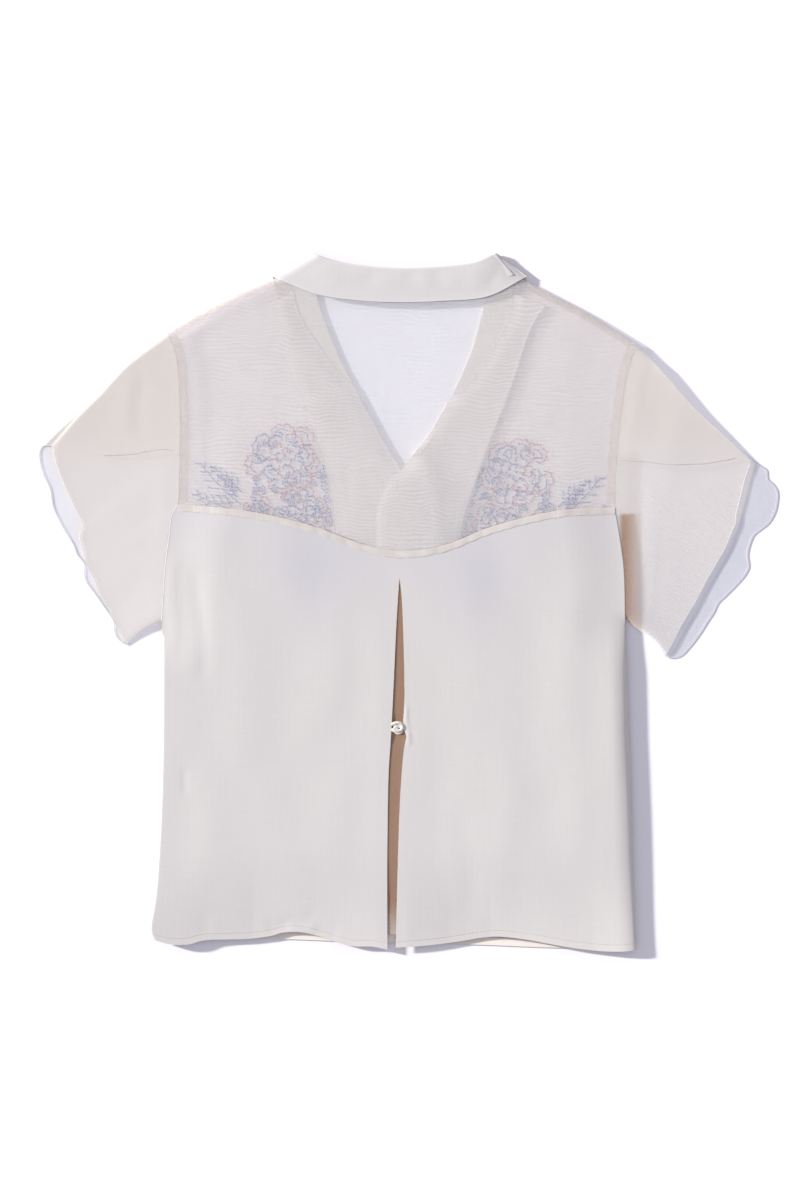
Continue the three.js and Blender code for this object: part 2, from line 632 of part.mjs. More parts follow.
// A dished two-hole button, its holes on a slant, resting at height z.
const button = (x, y, z) => {
  const { radius, thickness, bevel, rim, slope, dish, hole, holeOffset, sides } = BUTTON;
  const profile = [
    [0, 0], [radius - bevel, 0], [radius, bevel], [radius - bevel, thickness],
    [radius - rim, thickness], [radius - rim - slope, thickness - dish], [0, thickness - dish],
  ].map(([r, height]) => new THREE.Vector2(r, height));
  const disc = new THREE.LatheGeometry(profile, sides).rotateX(Math.PI / 2);
  const holes = [-1, 1].map((way) => {
    const drill = new THREE.CylinderGeometry(hole, hole, 3 * thickness, sides / 2).rotateX(Math.PI / 2);
    return drill.translate(way * holeOffset, -way * holeOffset, thickness / 2);
  });
  const whole = toManifold(facingOut(disc));
  const drilled = holes.reduce((body, drill) => body.subtract(toManifold(drill)), whole);
  return fromManifold(drilled).translate(x, y, z);
};

// The loop lies on the back button: two legs from the left edge of the slit, round the centre.
const slitFloor = frontRightLevel(BACK_BUTTON.x, BACK_BUTTON.y) + 2 * LAYER;
piece('back_button', button(BACK_BUTTON.x, BACK_BUTTON.y, slitFloor), PEARL);
for (let i = 0; i < FRONT_BUTTONS.count; i += 1) {
  const y = FRONT_BUTTONS.first - i * FRONT_BUTTONS.pitch;
  piece(`front_button_${i + 1}`, button(centreLine(y), y, 0), PEARL);
}

const loopRoute = new THREE.CatmullRomCurve3([
  [-17.0, 4.2, 1.3], [-14.5, 4.9, 1.7], [-11.6, 6.0, 1.8], [-8.7, 6.2, 1.8], [-6.2, 4.9, 1.8],
  [-5.2, 2.2, 1.8], [-6.2, -0.4, 1.8], [-8.9, -1.1, 1.8], [-11.8, -0.8, 1.8], [-14.5, -0.2, 1.7],
  [-17.0, 0.0, 1.3],
].map(([x, dy, rise]) => new THREE.Vector3(x, BACK_BUTTON.y + dy, slitFloor + LOOP.radius + rise)));
const section = new THREE.Shape().absarc(0, 0, LOOP.radius, 0, 2 * Math.PI);
const loop = new THREE.ExtrudeGeometry(section, {
  steps: LOOP.steps,
  extrudePath: loopRoute,
  curveSegments: LOOP.sides / 2,
});
piece('back_loop', loop, CORD);

// ---------------------------------------------------------------- centred over the origin

const middle = new THREE.Box3().setFromObject(shirt).getCenter(new THREE.Vector3());
shirt.children.forEach(({ geometry }) => geometry.translate(-middle.x, -middle.y, 0));

export default shirt;
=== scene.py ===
"""A short-sleeved camp-collar shirt in sheer organza and crepe silk, laid flat on its front."""

import math

import bpy
import numpy as np
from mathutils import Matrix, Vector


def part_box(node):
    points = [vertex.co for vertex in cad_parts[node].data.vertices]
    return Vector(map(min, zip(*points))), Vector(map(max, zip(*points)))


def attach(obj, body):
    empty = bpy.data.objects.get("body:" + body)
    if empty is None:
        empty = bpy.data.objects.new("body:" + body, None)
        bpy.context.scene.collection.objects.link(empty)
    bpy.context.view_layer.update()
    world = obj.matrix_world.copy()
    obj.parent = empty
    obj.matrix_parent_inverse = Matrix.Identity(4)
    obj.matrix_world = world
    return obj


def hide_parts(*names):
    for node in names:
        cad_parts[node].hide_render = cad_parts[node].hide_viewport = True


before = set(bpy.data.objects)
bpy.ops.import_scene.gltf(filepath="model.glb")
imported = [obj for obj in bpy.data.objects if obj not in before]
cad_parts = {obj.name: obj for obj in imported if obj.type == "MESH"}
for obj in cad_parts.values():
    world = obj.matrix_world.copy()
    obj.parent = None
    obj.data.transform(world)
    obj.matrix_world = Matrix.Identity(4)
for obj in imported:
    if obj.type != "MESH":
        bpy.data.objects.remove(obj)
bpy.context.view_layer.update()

# ------------------------ the two fronts
# The left and the right front are cut from ivory organza, so sheer that the surface shows through.
# They lie lowest, outer face down, and lap along the middle, the left front under the right one.
# At the sides and the shoulders they are sewn to the back, and along the neck to the collar.

MM = 0.001
WALL = 0.3  # thickness of the cloth, in millimetres like every size below
BUTTON_AT = (-9.3, -124.2)  # where the outlines below have the back button
button_low, button_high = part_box("back_button")
CENTRED = [(button_low[k] + button_high[k]) / 2 / MM - BUTTON_AT[k] for k in (0, 1)] + [0.0]

# Outlines, as rows of (x, y).
SIDE_LEFT = [(-248, -328), (-251, -319), (-246, -285), (-240, -180), (-238.5, -20)]
SIDE_RIGHT = [(221, -338), (218.5, -280), (215.5, -160), (212, -60), (210.5, -17)]
SCYE_LEFT = [(-238.5, -20), (-234.6, 36), (-231.5, 60), (-228, 84), (-222.5, 94)]
SCYE_RIGHT = [(210.5, -17), (209, 34), (200.5, 91)]
ARMHOLE_LEFT = [(-222.5, 94), (-221, 144), (-221.5, 200), (-226, 243), (-234, 260)]
ARMHOLE_RIGHT = [(200.5, 91), (202.5, 144), (207.5, 190), (213, 224), (222, 249)]
SHOULDER_LEFT = [(-234, 260), (-178, 292), (-142, 308), (-115, 318)]
SHOULDER_RIGHT = [(222, 249), (170, 281), (128, 303), (104, 316)]
FRONT_HEM_LEFT = [(-248, -328), (-180, -327), (-110, -328.6), (-40, -331.5), (1, -332)]
FRONT_HEM_RIGHT = [(-36, -331), (60, -333.5), (140, -336.5), (221, -338)]
LAP_LEFT = [(1, -332), (4, -203), (7, -60), (9, 60), (8, 96), (3, 113), (-7, 127)]
LAP_RIGHT = [(-36, -331), (-34, -203), (-32, -60), (-30.5, 60), (-28.5, 93), (-18, 116), (-7, 127)]
V_LEFT = [(-7, 127), (-21, 150), (-42, 188), (-51.3, 207)]
V_RIGHT = [(-7, 127), (18.5, 159), (34, 184), (41, 197)]
NECK_LEFT = [(-51.3, 207), (-69, 224), (-88, 250), (-106, 280), (-115, 318)]
NECK_RIGHT = [(41, 197), (50.5, 203), (67, 221), (82.5, 246), (99, 279), (104, 316)]

# Heights of the layers above the surface they lie on.
LAYER = 1.3
HALF_WALL = 0.5  # from the underside of a cloth's level to its middle
CLOTH_SMOOTHING = 50  # degrees between two faces that still shade as one
FRONT_EDGE_RISE = 2.3
EDGE_ROUNDING = 14
NECK_RISE = {"height": LAYER, "flat": 68, "end": 98}
BUTTON_STRIP = {"height": 1.8, "flat": 26, "end": 62, "low": -240, "high": 118, "fade": 60}
LAP_STEP = (7, 48)
PRESSED = (0.35, -336, -268)  # the hems lie flatter: to this part of the height, between these y


def smooth(rows):
    """Points close together on a curve through rows of (x, y)."""
    rows = np.array(rows, float)
    rows = np.vstack([2 * rows[0] - rows[1], rows, 2 * rows[-1] - rows[-2]])
    gaps = np.hypot(*np.diff(rows, axis=0).T) ** 0.5
    knot = np.concatenate([[0], np.cumsum(gaps)])
    line = []
    for i in range(1, len(rows) - 2):
        t = np.linspace(knot[i], knot[i + 1], 33)[:, None]
        p, k = rows[i - 1 : i + 3], knot[i - 1 : i + 3]
        near = [((k[j + 1] - t) * p[j] + (t - k[j]) * p[j + 1]) / (k[j + 1] - k[j]) for j in range(3)]
        next_ = [((k[j + 2] - t) * near[j] + (t - k[j]) * near[j + 1]) / (k[j + 2] - k[j]) for j in range(2)]
        line.append(((k[2] - t) * next_[0] + (t - k[1]) * next_[1]) / (k[2] - k[1]))
    return np.vstack(line)


def edge(*tables):
    """A function of t, from 0 to 1, along one or more outlines joined end to end."""
    line = np.vstack([smooth(rows) for rows in tables])
    run = np.concatenate([[0], np.cumsum(np.hypot(*np.diff(line, axis=0).T))])
    return lambda t: np.stack([np.interp(np.asarray(t) * run[-1], run, line[:, k]) for k in (0, 1)], -1)


def mix(a, b, t):
    return a + (b - a) * np.asarray(t)[..., None]


def panel(bottom, top, left, right):
    """A function of u and v that fills the shape between four edges."""

    def place(u, v):
        u, v = np.broadcast_arrays(u, v)
        across = mix(bottom(u), top(u), v)
        along = mix(left(v), right(v), u)
        corners = mix(mix(bottom(0), bottom(1), u), mix(top(0), top(1), u), v)
        return across + along - corners

    return place


def smoothstep(low, high, value):
    t = np.clip((value - low) / (high - low), 0, 1)
    return t * t * (3 - 2 * t)


def rounding(distance, width):
    """0 at a closed edge, 1 from width inwards, along a quarter of an ellipse."""
    t = 1 - np.clip(distance / width, 0, 1)
    return np.sqrt(1 - t * t)


def distance_to(lines, x, y):
    """How far each point is from the nearest of these lines."""
    least = np.full(np.shape(x), 1e9)
    for line in lines:
        for (ax, ay), (bx, by) in zip(line[:-1], line[1:]):
            dx, dy = bx - ax, by - ay
            t = np.clip(((x - ax) * dx + (y - ay) * dy) / (dx * dx + dy * dy + 1e-9), 0, 1)
            least = np.minimum(least, np.hypot(x - ax - t * dx, y - ay - t * dy))
    return least


def sampled(rows):
    return smooth(rows)[::8]


def read_at(rows, y):
    """The x of an outline at this y."""
    xs, ys = np.array(rows, float).T
    return np.interp(y, ys, xs)


def centre_line(y):
    return (read_at(LAP_LEFT, np.minimum(y, 90)) + read_at(LAP_RIGHT, np.minimum(y, 90))) / 2


def strip_rise(x, y, height, flat, end, low, high, fade):
    """How far the buttons hold the fronts up along their middle line."""
    sideways = 1 - smoothstep(flat, end, np.abs(x - centre_line(y)))
    return height * sideways * smoothstep(low - fade, low, y) * (1 - smoothstep(high, high + fade, y))


SEAMED_EDGES = [sampled(rows) for rows in (SIDE_LEFT, SIDE_RIGHT, SHOULDER_LEFT, SHOULDER_RIGHT)]
NECKLINE = [sampled(rows) for rows in (NECK_LEFT, NECK_RIGHT, V_LEFT, V_RIGHT)]


def layer_rise(y):
    """How far one layer lies above another."""
    least, low, high = PRESSED
    return LAYER * (least + (1 - least) * smoothstep(low, high, y))


def open_front(x, y):
    """The level of the fronts where nothing else holds them, over the collar's ends and the buttons."""
    from_neck = distance_to(NECKLINE, x, y)
    neck = NECK_RISE["height"] * (1 - smoothstep(NECK_RISE["flat"], NECK_RISE["end"], from_neck))
    return np.maximum(neck, strip_rise(x, y, **BUTTON_STRIP))


def closing(edge_rise, level, x, y, width=EDGE_ROUNDING):
    """A level that comes to edge_rise where front and back are sewn together."""
    t = rounding(distance_to(SEAMED_EDGES, x, y), width)
    return edge_rise + (level - edge_rise) * t


def front_left_level(x, y):
    return closing(FRONT_EDGE_RISE, open_front(x, y), x, y)


def front_right_level(x, y):
    beside = x - read_at([*LAP_LEFT, *V_LEFT[1:]], y)
    lapped = 2 * layer_rise(y) * (1 - smoothstep(*LAP_STEP, beside))
    return closing(FRONT_EDGE_RISE, open_front(x, y) + lapped, x, y)


def folds(x, y, table):
    """Soft ridges, or troughs where the height is below 0. Each row is the two ends of a fold, (x, y) and
    (x, y), then its half width and its height."""
    z = np.zeros(np.shape(x))
    for x0, y0, x1, y1, width, height in table:
        length = math.hypot(x1 - x0, y1 - y0)
        dx, dy = (x1 - x0) / length, (y1 - y0) / length
        s = ((x - x0) * dx + (y - y0) * dy) / length
        sway = 0.18 * width * np.sin(9 * s + 0.05 * x0)
        across = ((x - x0) * dy - (y - y0) * dx + sway) / width
        ends = smoothstep(0, 0.3, s) * (1 - smoothstep(0.7, 1, s))
        z += height * np.exp(-across * across) * ends
    return z


def edit_all(*steps):
    """Runs operators on the whole mesh of the active piece. Each step is an operator and its values."""
    bpy.ops.object.mode_set(mode="EDIT")
    bpy.ops.mesh.select_all(action="SELECT")
    for operator, values in steps:
        operator(**values)
    bpy.ops.object.mode_set(mode="OBJECT")


def lay(name, points, wall=WALL, ring=False, marks=()):
    """A thin closed cloth shell through rows of points, in millimetres. ring joins its first column to its
    last. marks are (name, values) that the finish reads, one value for each point."""
    rows, columns = points.shape[:2]
    bpy.ops.object.select_all(action="DESELECT")
    bpy.ops.mesh.primitive_grid_add(x_subdivisions=columns - 1, y_subdivisions=rows - 1, size=1)
    cloth = bpy.context.object
    cloth.name = cloth.data.name = name
    corner = np.empty(len(cloth.data.vertices) * 3)
    cloth.data.vertices.foreach_get("co", corner)
    corner = corner.reshape(-1, 3) + 0.5
    i = np.rint(corner[:, 1] * (rows - 1)).astype(int)
    j = np.rint(corner[:, 0] * (columns - 1)).astype(int)
    place = (points[i, j] + CENTRED) * MM
    cloth.data.vertices.foreach_set("co", place.ravel())
    for mark, values in marks:
        layer = cloth.data.attributes.new(mark, "FLOAT", "POINT")
        layer.data.foreach_set("value", np.ascontiguousarray(values[i, j], dtype=np.float32))
    if ring:
        edit_all(
            (bpy.ops.mesh.remove_doubles, {"threshold": 1e-6}),
            (bpy.ops.mesh.normals_make_consistent, {"inside": False}),
        )
    wall_of = cloth.modifiers.new("wall", "SOLIDIFY")
    wall_of.thickness = wall * MM
    wall_of.offset = 0
    bpy.ops.object.modifier_apply(modifier=wall_of.name)
    bpy.ops.object.shade_smooth_by_angle(angle=math.radians(CLOTH_SMOOTHING))
    return cloth


def spaced(length, cell):
    return np.linspace(0, 1, max(2, round(length / cell)) + 1)


FRONT_WIDTH, FRONT_LENGTH = 252, 650
CELL = 3.2  # between the points of a front's mesh
EASE = 0.0014  # keeps neighbouring panels apart, as a fraction of a panel
WRAP = 1.4  # the facings wrap the V edges of the fronts
FRONT_FOLDS = [
    # x, y, x, y, half width, height
    (-196, -60, -188, -290, 16, 0.5),
    (-120, 40, -128, -180, 20, 0.4),
    (92, 20, 100, -250, 18, 0.45),
    (160, -30, 166, -300, 14, 0.5),
]

front_left_shape = panel(
    bottom=edge(FRONT_HEM_LEFT),
    top=edge(SHOULDER_LEFT),
    left=edge(SIDE_LEFT, SCYE_LEFT, ARMHOLE_LEFT),
    right=edge(LAP_LEFT, [(x - WRAP, y) for x, y in V_LEFT], NECK_LEFT),
)
front_right_shape = panel(
    bottom=edge(FRONT_HEM_RIGHT),
    top=edge(SHOULDER_RIGHT[::-1]),
    left=edge(LAP_RIGHT, [(x + WRAP, y) for x, y in V_RIGHT], NECK_RIGHT),
    right=edge(SIDE_RIGHT, SCYE_RIGHT, ARMHOLE_RIGHT),
)


def on_level(shape, level, u, v, table=()):
    """Rows of points of a shape, at the middle of the cloth on that level."""
    xy = shape(u[None, :], v[:, None])
    x, y = xy[..., 0], xy[..., 1]
    z = level(x, y) + HALF_WALL + folds(x, y, table)
    return np.dstack([x, y, z])


across, along = (spaced(length, CELL) * (1 - EASE) for length in (FRONT_WIDTH, FRONT_LENGTH))
front_left = lay("left_front", on_level(front_left_shape, front_left_level, across, along, FRONT_FOLDS))
front_right = lay("right_front", on_level(front_right_shape, front_right_level, EASE + across, along, FRONT_FOLDS))


def dyed(red, green, blue):
    """A colour as the eye sees it, 0 to 255, in the linear values that the finishes take."""
    part = [c / 255 for c in (red, green, blue)]
    return [c / 12.92 if c < 0.04045 else ((c + 0.055) / 1.055) ** 2.4 for c in part] + [1.0]


def feed(tree, socket, value):
    """Gives an input its plain value, or the output that it reads."""
    if isinstance(value, bpy.types.NodeSocket):
        tree.links.new(value, socket)
    else:
        socket.default_value = value


def node(tree, kind, **values):
    """A node with its settings and its inputs, both by name."""
    made = tree.nodes.new(kind)
    for key, value in values.items():
        if key in made.inputs:
            feed(tree, made.inputs[key], value)
        else:
            setattr(made, key, value)
    return made


def finish(name, roughness=0.6, alpha=1.0, sheen=0.0, specular=0.3, coat=0.0):
    """A new material with its shader's plain values set."""
    made = bpy.data.materials.new(name)
    made.use_nodes = True
    given = made.node_tree.nodes["Principled BSDF"].inputs
    given["Roughness"].default_value = roughness
    given["Alpha"].default_value = alpha
    given["Sheen Weight"].default_value = sheen
    given["Specular IOR Level"].default_value = specular
    given["Coat Weight"].default_value = coat
    return made, made.node_tree


def place_in(tree):
    """The place on a piece, as the patterns of its finish read it."""
    return node(tree, "ShaderNodeTexCoord").outputs["Object"]


def shared(name, inputs, outputs):
    """An empty node group with float inputs and outputs, after a vector that carries the place."""
    group = bpy.data.node_groups.new(name, "ShaderNodeTree")
    group.interface.new_socket("Place", in_out="INPUT", socket_type="NodeSocketVector")
    for key, value in inputs.items():
        made = group.interface.new_socket(key, in_out="INPUT", socket_type="NodeSocketFloat")
        made.default_value = value
    for key in outputs:
        group.interface.new_socket(key, in_out="OUTPUT", socket_type="NodeSocketFloat")
    return group, node(group, "NodeGroupInput").outputs, node(group, "NodeGroupOutput").inputs


def maths(tree, operation, a, b, clamp=False):
    """One step of arithmetic between sockets or numbers."""
    made = node(tree, "ShaderNodeMath", operation=operation, use_clamp=clamp)
    feed(tree, made.inputs[0], a)
    feed(tree, made.inputs[1], b)
    return made.outputs[0]


def noise(tree, place, **values):
    return node(tree, "ShaderNodeTexNoise", Vector=place, **values).outputs["Fac"]


def bands(tree, place, way, **values):
    made = node(tree, "ShaderNodeTexWave", wave_type="BANDS", bands_direction=way, Vector=place, **values)
    return made.outputs["Fac"]


# Plain weave: fine threads both ways, with a few thicker ones.
weave, given, put = shared("plain_weave", {"Threads": 900.0, "Slubs": 1.0}, ["Tone", "Height"])
threads = [bands(weave, given["Place"], way, Scale=given["Threads"]) for way in ("X", "Y")]
slubs = []
for stretch in ((35, 700, 1), (600, 30, 1)):
    stretched = node(weave, "ShaderNodeMapping", Vector=given["Place"], Scale=stretch)
    slubs.append(noise(weave, stretched.outputs[0], Scale=1.0, Detail=2.0))
coarse = maths(weave, "SUBTRACT", maths(weave, "ADD", *slubs), 1.0)
coarse = maths(weave, "MULTIPLY", coarse, given["Slubs"])
fine = maths(weave, "MULTIPLY", maths(weave, "MULTIPLY", *threads), 0.3)
feed(weave, put["Tone"], maths(weave, "ADD", maths(weave, "ADD", fine, coarse), 0.42, clamp=True))
feed(weave, put["Height"], maths(weave, "ADD", *threads))

# Moire: the wavy grain that two sheer layers make where they lie on each other.
MOIRE = 85.0
moire, given, put = shared("moire", {"Lines": MOIRE, "Waver": 5.0}, ["Tone"])
waver = {"Detail": 2.0, "Detail Scale": 0.35, "Distortion": given["Waver"]}
grain = bands(moire, given["Place"], "Y", Scale=given["Lines"], **waver)
patches = noise(moire, given["Place"], Scale=14.0, Detail=1.0)
swing = maths(moire, "MULTIPLY", maths(moire, "SUBTRACT", grain, 0.5), patches)
feed(moire, put["Tone"], maths(moire, "ADD", swing, 0.5, clamp=True))


def effect(tree, group, place, **values):
    """A shared effect placed in a material, at this place and with these values."""
    return node(tree, "ShaderNodeGroup", node_tree=group, Place=place, **values).outputs


def blend_colours(tree, amount, low, high):
    """A colour between two, which are colours or sockets."""
    made = node(tree, "ShaderNodeMix", data_type="RGBA", Factor=amount)
    feed(tree, made.inputs[6], low)
    feed(tree, made.inputs[7], high)
    return made.outputs[2]


def tinted(tree, colour, marks):
    """The colour under the tints of a mesh's marks. Each mark has its name, its tint and its strength."""
    for mark, tint, strength in marks:
        found = node(tree, "ShaderNodeAttribute", attribute_name=mark).outputs["Fac"]
        amount = found if strength == 1 else maths(tree, "MULTIPLY", found, strength)
        colour = blend_colours(tree, amount, colour, tint)
    return colour


def paint(tree, colour, height=None, depth=0.00005, strength=0.5):
    """The finish takes this colour and, where there is one, this height as a relief, its depth in metres."""
    given = tree.nodes["Principled BSDF"].inputs
    feed(tree, given["Base Color"], colour)
    if height is not None:
        bump = node(tree, "ShaderNodeBump", Height=height, Distance=depth, Strength=strength)
        feed(tree, given["Normal"], bump.outputs[0])


def organza(name, dark, light, alpha, waver, turn=0.0, slubs=0.9, marks=(), relief=True):
    """Sheer silk organza. waver and turn shape its moire, slubs is the strength of its thicker threads, and
    marks are its tints."""
    made, tree = finish(name, roughness=0.55, alpha=alpha, sheen=0.15, specular=0.25)
    place = place_in(tree)
    cloth = effect(tree, weave, place, Slubs=slubs)
    turned = node(tree, "ShaderNodeMapping", Vector=place, Rotation=(0, 0, turn)).outputs[0]
    wavy = effect(tree, moire, turned, Lines=MOIRE, Waver=waver)["Tone"]
    shares = maths(tree, "MULTIPLY", cloth["Tone"], 0.4), maths(tree, "MULTIPLY", wavy, 0.6)
    colour = blend_colours(tree, maths(tree, "ADD", *shares), dark, light)
    paint(tree, tinted(tree, colour, marks), cloth["Height"] if relief else None)
    return made


def wear(piece, cloth, cad=None):
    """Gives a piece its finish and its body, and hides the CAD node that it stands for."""
    piece.data.materials.append(cloth)
    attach(piece, "root")
    if cad:
        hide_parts(cad)
    return piece


ORGANZA_ALPHA = 0.27
front_organza = organza("organza_front", dyed(228, 218, 206), dyed(254, 246, 236), ORGANZA_ALPHA, waver=5.0)

# Each front's hem is turned in once, so it is two layers thick and hides more.
hem_cloth, tree = finish("turned_hem", roughness=0.6, alpha=0.85, sheen=0.15)
woven = effect(tree, weave, place_in(tree), Slubs=0.8)["Tone"]
paint(tree, blend_colours(tree, woven, dyed(240, 232, 220), dyed(250, 245, 236)))
HEM_LAYER = WALL + 0.06  # it lies this far above the front, and just clear of it
hem_columns = 0.004 + 0.992 * spaced(250, 4)
hem_rows = np.linspace(0.4, 8, 6) / FRONT_LENGTH

for side, cloth, shape, level, lies_on in (
    ("left", front_left, front_left_shape, front_left_level, "collar"),
    ("right", front_right, front_right_shape, front_right_level, "left_front"),
):
    points = on_level(shape, level, hem_columns, hem_rows)
    points[..., 2] += HEM_LAYER
    hem = wear(lay("turned_hem_" + side, points), hem_cloth)
    wear(cloth, front_organza, "front_" + side)

# ------------------------ the two facings and their lapels
# A facing backs each front edge, cut double from the same organza and turned under at its outer edge.
# At the V of the neck it wraps the edge of the front and lies under it again, as the lapel.

FACING_LEFT = [(-74, -318), (-72, -60), (-70, 72), (-82, 142), (-111, 221), (-131, 288)]
FACING_RIGHT = [(46, -324), (46, -60), (50, 62), (70, 130), (99, 205), (121, 268), (133, 286)]
LAPEL_LEFT = {"start": 0.16, "end": 0.91, "foot": (-19, 135), "tip": (-104, 188)}
LAPEL_RIGHT = {"start": 0.2, "end": 0.93, "foot": (8, 134), "tip": (96, 176)}
SLIT_LEFT = [(-20, -337), (-20, -240), (-15.5, -125), (-11, -20), (-8.3, 22)]
SLIT_RIGHT = [(-12, -336), (-9.5, -240), (-4, -125), (-5, -20), (-7.9, 22)]
FACING_WIDTH, FACING_LENGTH = 75, 620
TURNED = 3.4 / FACING_WIDTH  # the turned outer edge, as a fraction of the width
HEM_START = 0.012  # where the facing starts above the hem, as a fraction of the front's edge
SPREAD = 9  # the facing clears the front this far to both sides
NECK_PRESS, NECK_REACH = 0.6, 12  # the share of a layer's height lost at the neckline, and how far from it
TURN_LIFT = 0.16
NOSE = 0.4  # how far the wrapped edge rounds outwards
LAPEL_START = 6  # the lapel starts on top of the facing, this far from its edge


def line_length(*tables):
    return sum(np.hypot(*np.diff(smooth(rows), axis=0).T).sum() for rows in tables)


def straight(a, b):
    a, b = np.array(a, float), np.array(b, float)
    return lambda t: mix(a, b, t)


# How far the facings swell up into the open slit, by y.
SLIT_SWELL = (
    [-338, -322, -306, -290, -280, -262, -240, -140, -132, -124, -116, -108, 15],
    [2.04, 2.04, 1.76, 1.24, 0.94, 0.72, 0.76, 0.66, 0.12, 0.0, 0.12, 0.66, 0.76],
)


def facing(name, outer, neck_end, lap, v_edge, neck, lapel, out, level):
    """The facing and its lapel. out is -1 where the lapel turns towards -X, else 1."""
    total = line_length(lap, v_edge, neck)
    end = (line_length(lap, v_edge) + line_length(neck) * neck_end) / total
    outer_edge, whole = edge(outer), edge(lap, v_edge, neck)
    inner_edge = lambda t: whole(HEM_START + (end - HEM_START) * np.asarray(t))
    shape = panel(
        bottom=straight(outer_edge(0), inner_edge(0)),
        top=straight(outer_edge(1), inner_edge(1)),
        left=outer_edge,
        right=inner_edge,
    )

    def over_level(x, y):
        near_neck = NECK_PRESS * (1 - smoothstep(0, NECK_REACH, distance_to(NECKLINE, x, y)))
        highest = np.maximum(np.maximum(level(x - SPREAD, y), level(x, y)), level(x + SPREAD, y))
        return layer_rise(y) * (1 - near_neck) + highest

    u = np.concatenate([np.linspace(0, TURNED, 6), np.linspace(0.07, 1, 30)])
    points = on_level(shape, over_level, u, spaced(FACING_LENGTH, CELL))
    x, y = points[..., 0], points[..., 1]
    turned = np.broadcast_to((u < TURNED + 1e-6).astype(float), x.shape)
    points[..., 2] += TURN_LIFT * turned
    open_slit = np.minimum(x - read_at(SLIT_LEFT, y), read_at(SLIT_RIGHT, y) - x)
    seen = smoothstep(-7, -1, open_slit) * (1 - smoothstep(15, 24, y))
    points[..., 2] += seen * np.interp(y, *SLIT_SWELL)
    # Where the open slit shows the facing, its colour takes a painted warm shade, greyer towards the hem.
    seen = seen * (0.45 + 0.55 * smoothstep(-334, -285, y))
    cloth = lay(name, points, marks=[("turned", turned), ("slit_shade", seen)])

    roll = lambda t: edge(v_edge)(lapel["start"] + (lapel["end"] - lapel["start"]) * np.asarray(t))
    under = panel(
        bottom=straight(roll(0), lapel["foot"]),
        top=straight(roll(1), lapel["tip"]),
        left=roll,
        right=straight(lapel["foot"], lapel["tip"]),
    )
    v = spaced(FACING_WIDTH, 2.5)
    flat = under(spaced(60, 3)[None, 1:], v[:, None])
    fold = roll(v)
    top = over_level(fold[:, 0], fold[:, 1]) + HALF_WALL
    rows = []
    for angle in np.radians([90, 60, 30, 0, -30, -60, -90]):
        beside = fold[:, 0] - out * (NOSE + NOSE * math.cos(angle))
        height = HALF_WALL + (top - HALF_WALL) / 2 * (1 + math.sin(angle))
        rows.append(np.column_stack([beside, fold[:, 1], height]))
    nose = np.stack(rows, axis=1)
    leaf = np.dstack([flat, np.full(flat.shape[:2], HALF_WALL)])
    first = np.column_stack([fold[:, 0] + out * LAPEL_START, fold[:, 1], top + 0.1])[:, None]
    turned_under = lay(name + "_lapel", np.concatenate([first, nose, leaf], axis=1))
    return cloth, turned_under


# SLIT_SHADE is painted shade: the warm, deep shade inside the open slit, laid on the facings where the slit shows
# them.
SLIT_SHADE = dyed(179, 144, 119)
facing_organza, tree = finish("organza_facing", roughness=0.6, alpha=0.5, sheen=0.15, specular=0.25)
place = place_in(tree)
wavy = effect(tree, moire, place, Lines=MOIRE, Waver=16.0)["Tone"]
double = blend_colours(tree, wavy, dyed(238, 231, 225), dyed(250, 245, 239))
double = tinted(tree, double, [("turned", dyed(240, 234, 226), 1), ("slit_shade", SLIT_SHADE, 1)])
paint(tree, double, effect(tree, weave, place, Slubs=0.5)["Height"])

for side, outer, neck_end, lap, v_edge, neck, lapel, out, level in (
    ("left", FACING_LEFT, 0.86, LAP_LEFT, V_LEFT, NECK_LEFT, LAPEL_LEFT, -1, front_left_level),
    ("right", FACING_RIGHT, 0.87, LAP_RIGHT, V_RIGHT, NECK_RIGHT, LAPEL_RIGHT, 1, front_right_level),
):
    name = "facing_" + side
    cloth, lapel_piece = facing("cloth_" + name, outer, neck_end, lap, v_edge, neck, lapel, out, level)
    wear(cloth, facing_organza, name)
    wear(lapel_piece, facing_organza)

# ------------------------ embroidery
# Beside each facing the front is embroidered with a full-blown flower, smaller ones and a spray of
# leaves, in short straight stitches: lilac-blue for the fill and the leaves, rose for the outlines.

THREAD = 1.0
THREAD_LIFT = 0.12  # of the middle of a stitch, above the middle of the cloth
STITCH, STITCH_PITCH = 1.7, 2.9
FACING_GAP = 1.2  # between the stitches and the facing
LEAF_GRID = 9.5
ROSE, BLUE = "rose", "blue"


def stitches(name, starts, ends, width=THREAD, height=0.45):
    """One mesh of short stitches, each a small bar between its two ends, narrower at the top."""
    starts, ends = np.asarray(starts, float), np.asarray(ends, float)
    run = ends - starts
    side = np.stack([-run[:, 1], run[:, 0], np.zeros(len(run))], -1)
    side *= (width / 2 / (np.linalg.norm(side, axis=1) + 1e-9))[:, None]
    up = np.array([0, 0, height / 2])
    corners = [
        end + way * (0.7 if top > 0 else 1) * side + top * up
        for top in (-1, 1)
        for end in (starts, ends)
        for way in (-1, 1)
    ]
    corners = (np.stack(corners, 1).reshape(-1, 3) + CENTRED) * MM
    faces = np.array([(0, 1, 3, 2), (4, 6, 7, 5), (0, 4, 5, 1), (2, 3, 7, 6), (0, 2, 6, 4), (1, 5, 7, 3)])
    faces = (faces[None] + 8 * np.arange(len(run))[:, None, None]).reshape(-1, 4)
    mesh = bpy.data.meshes.new(name)
    mesh.from_pydata(corners.tolist(), [], faces.tolist())
    made = bpy.data.objects.new(name, mesh)
    bpy.context.scene.collection.objects.link(made)
    return made


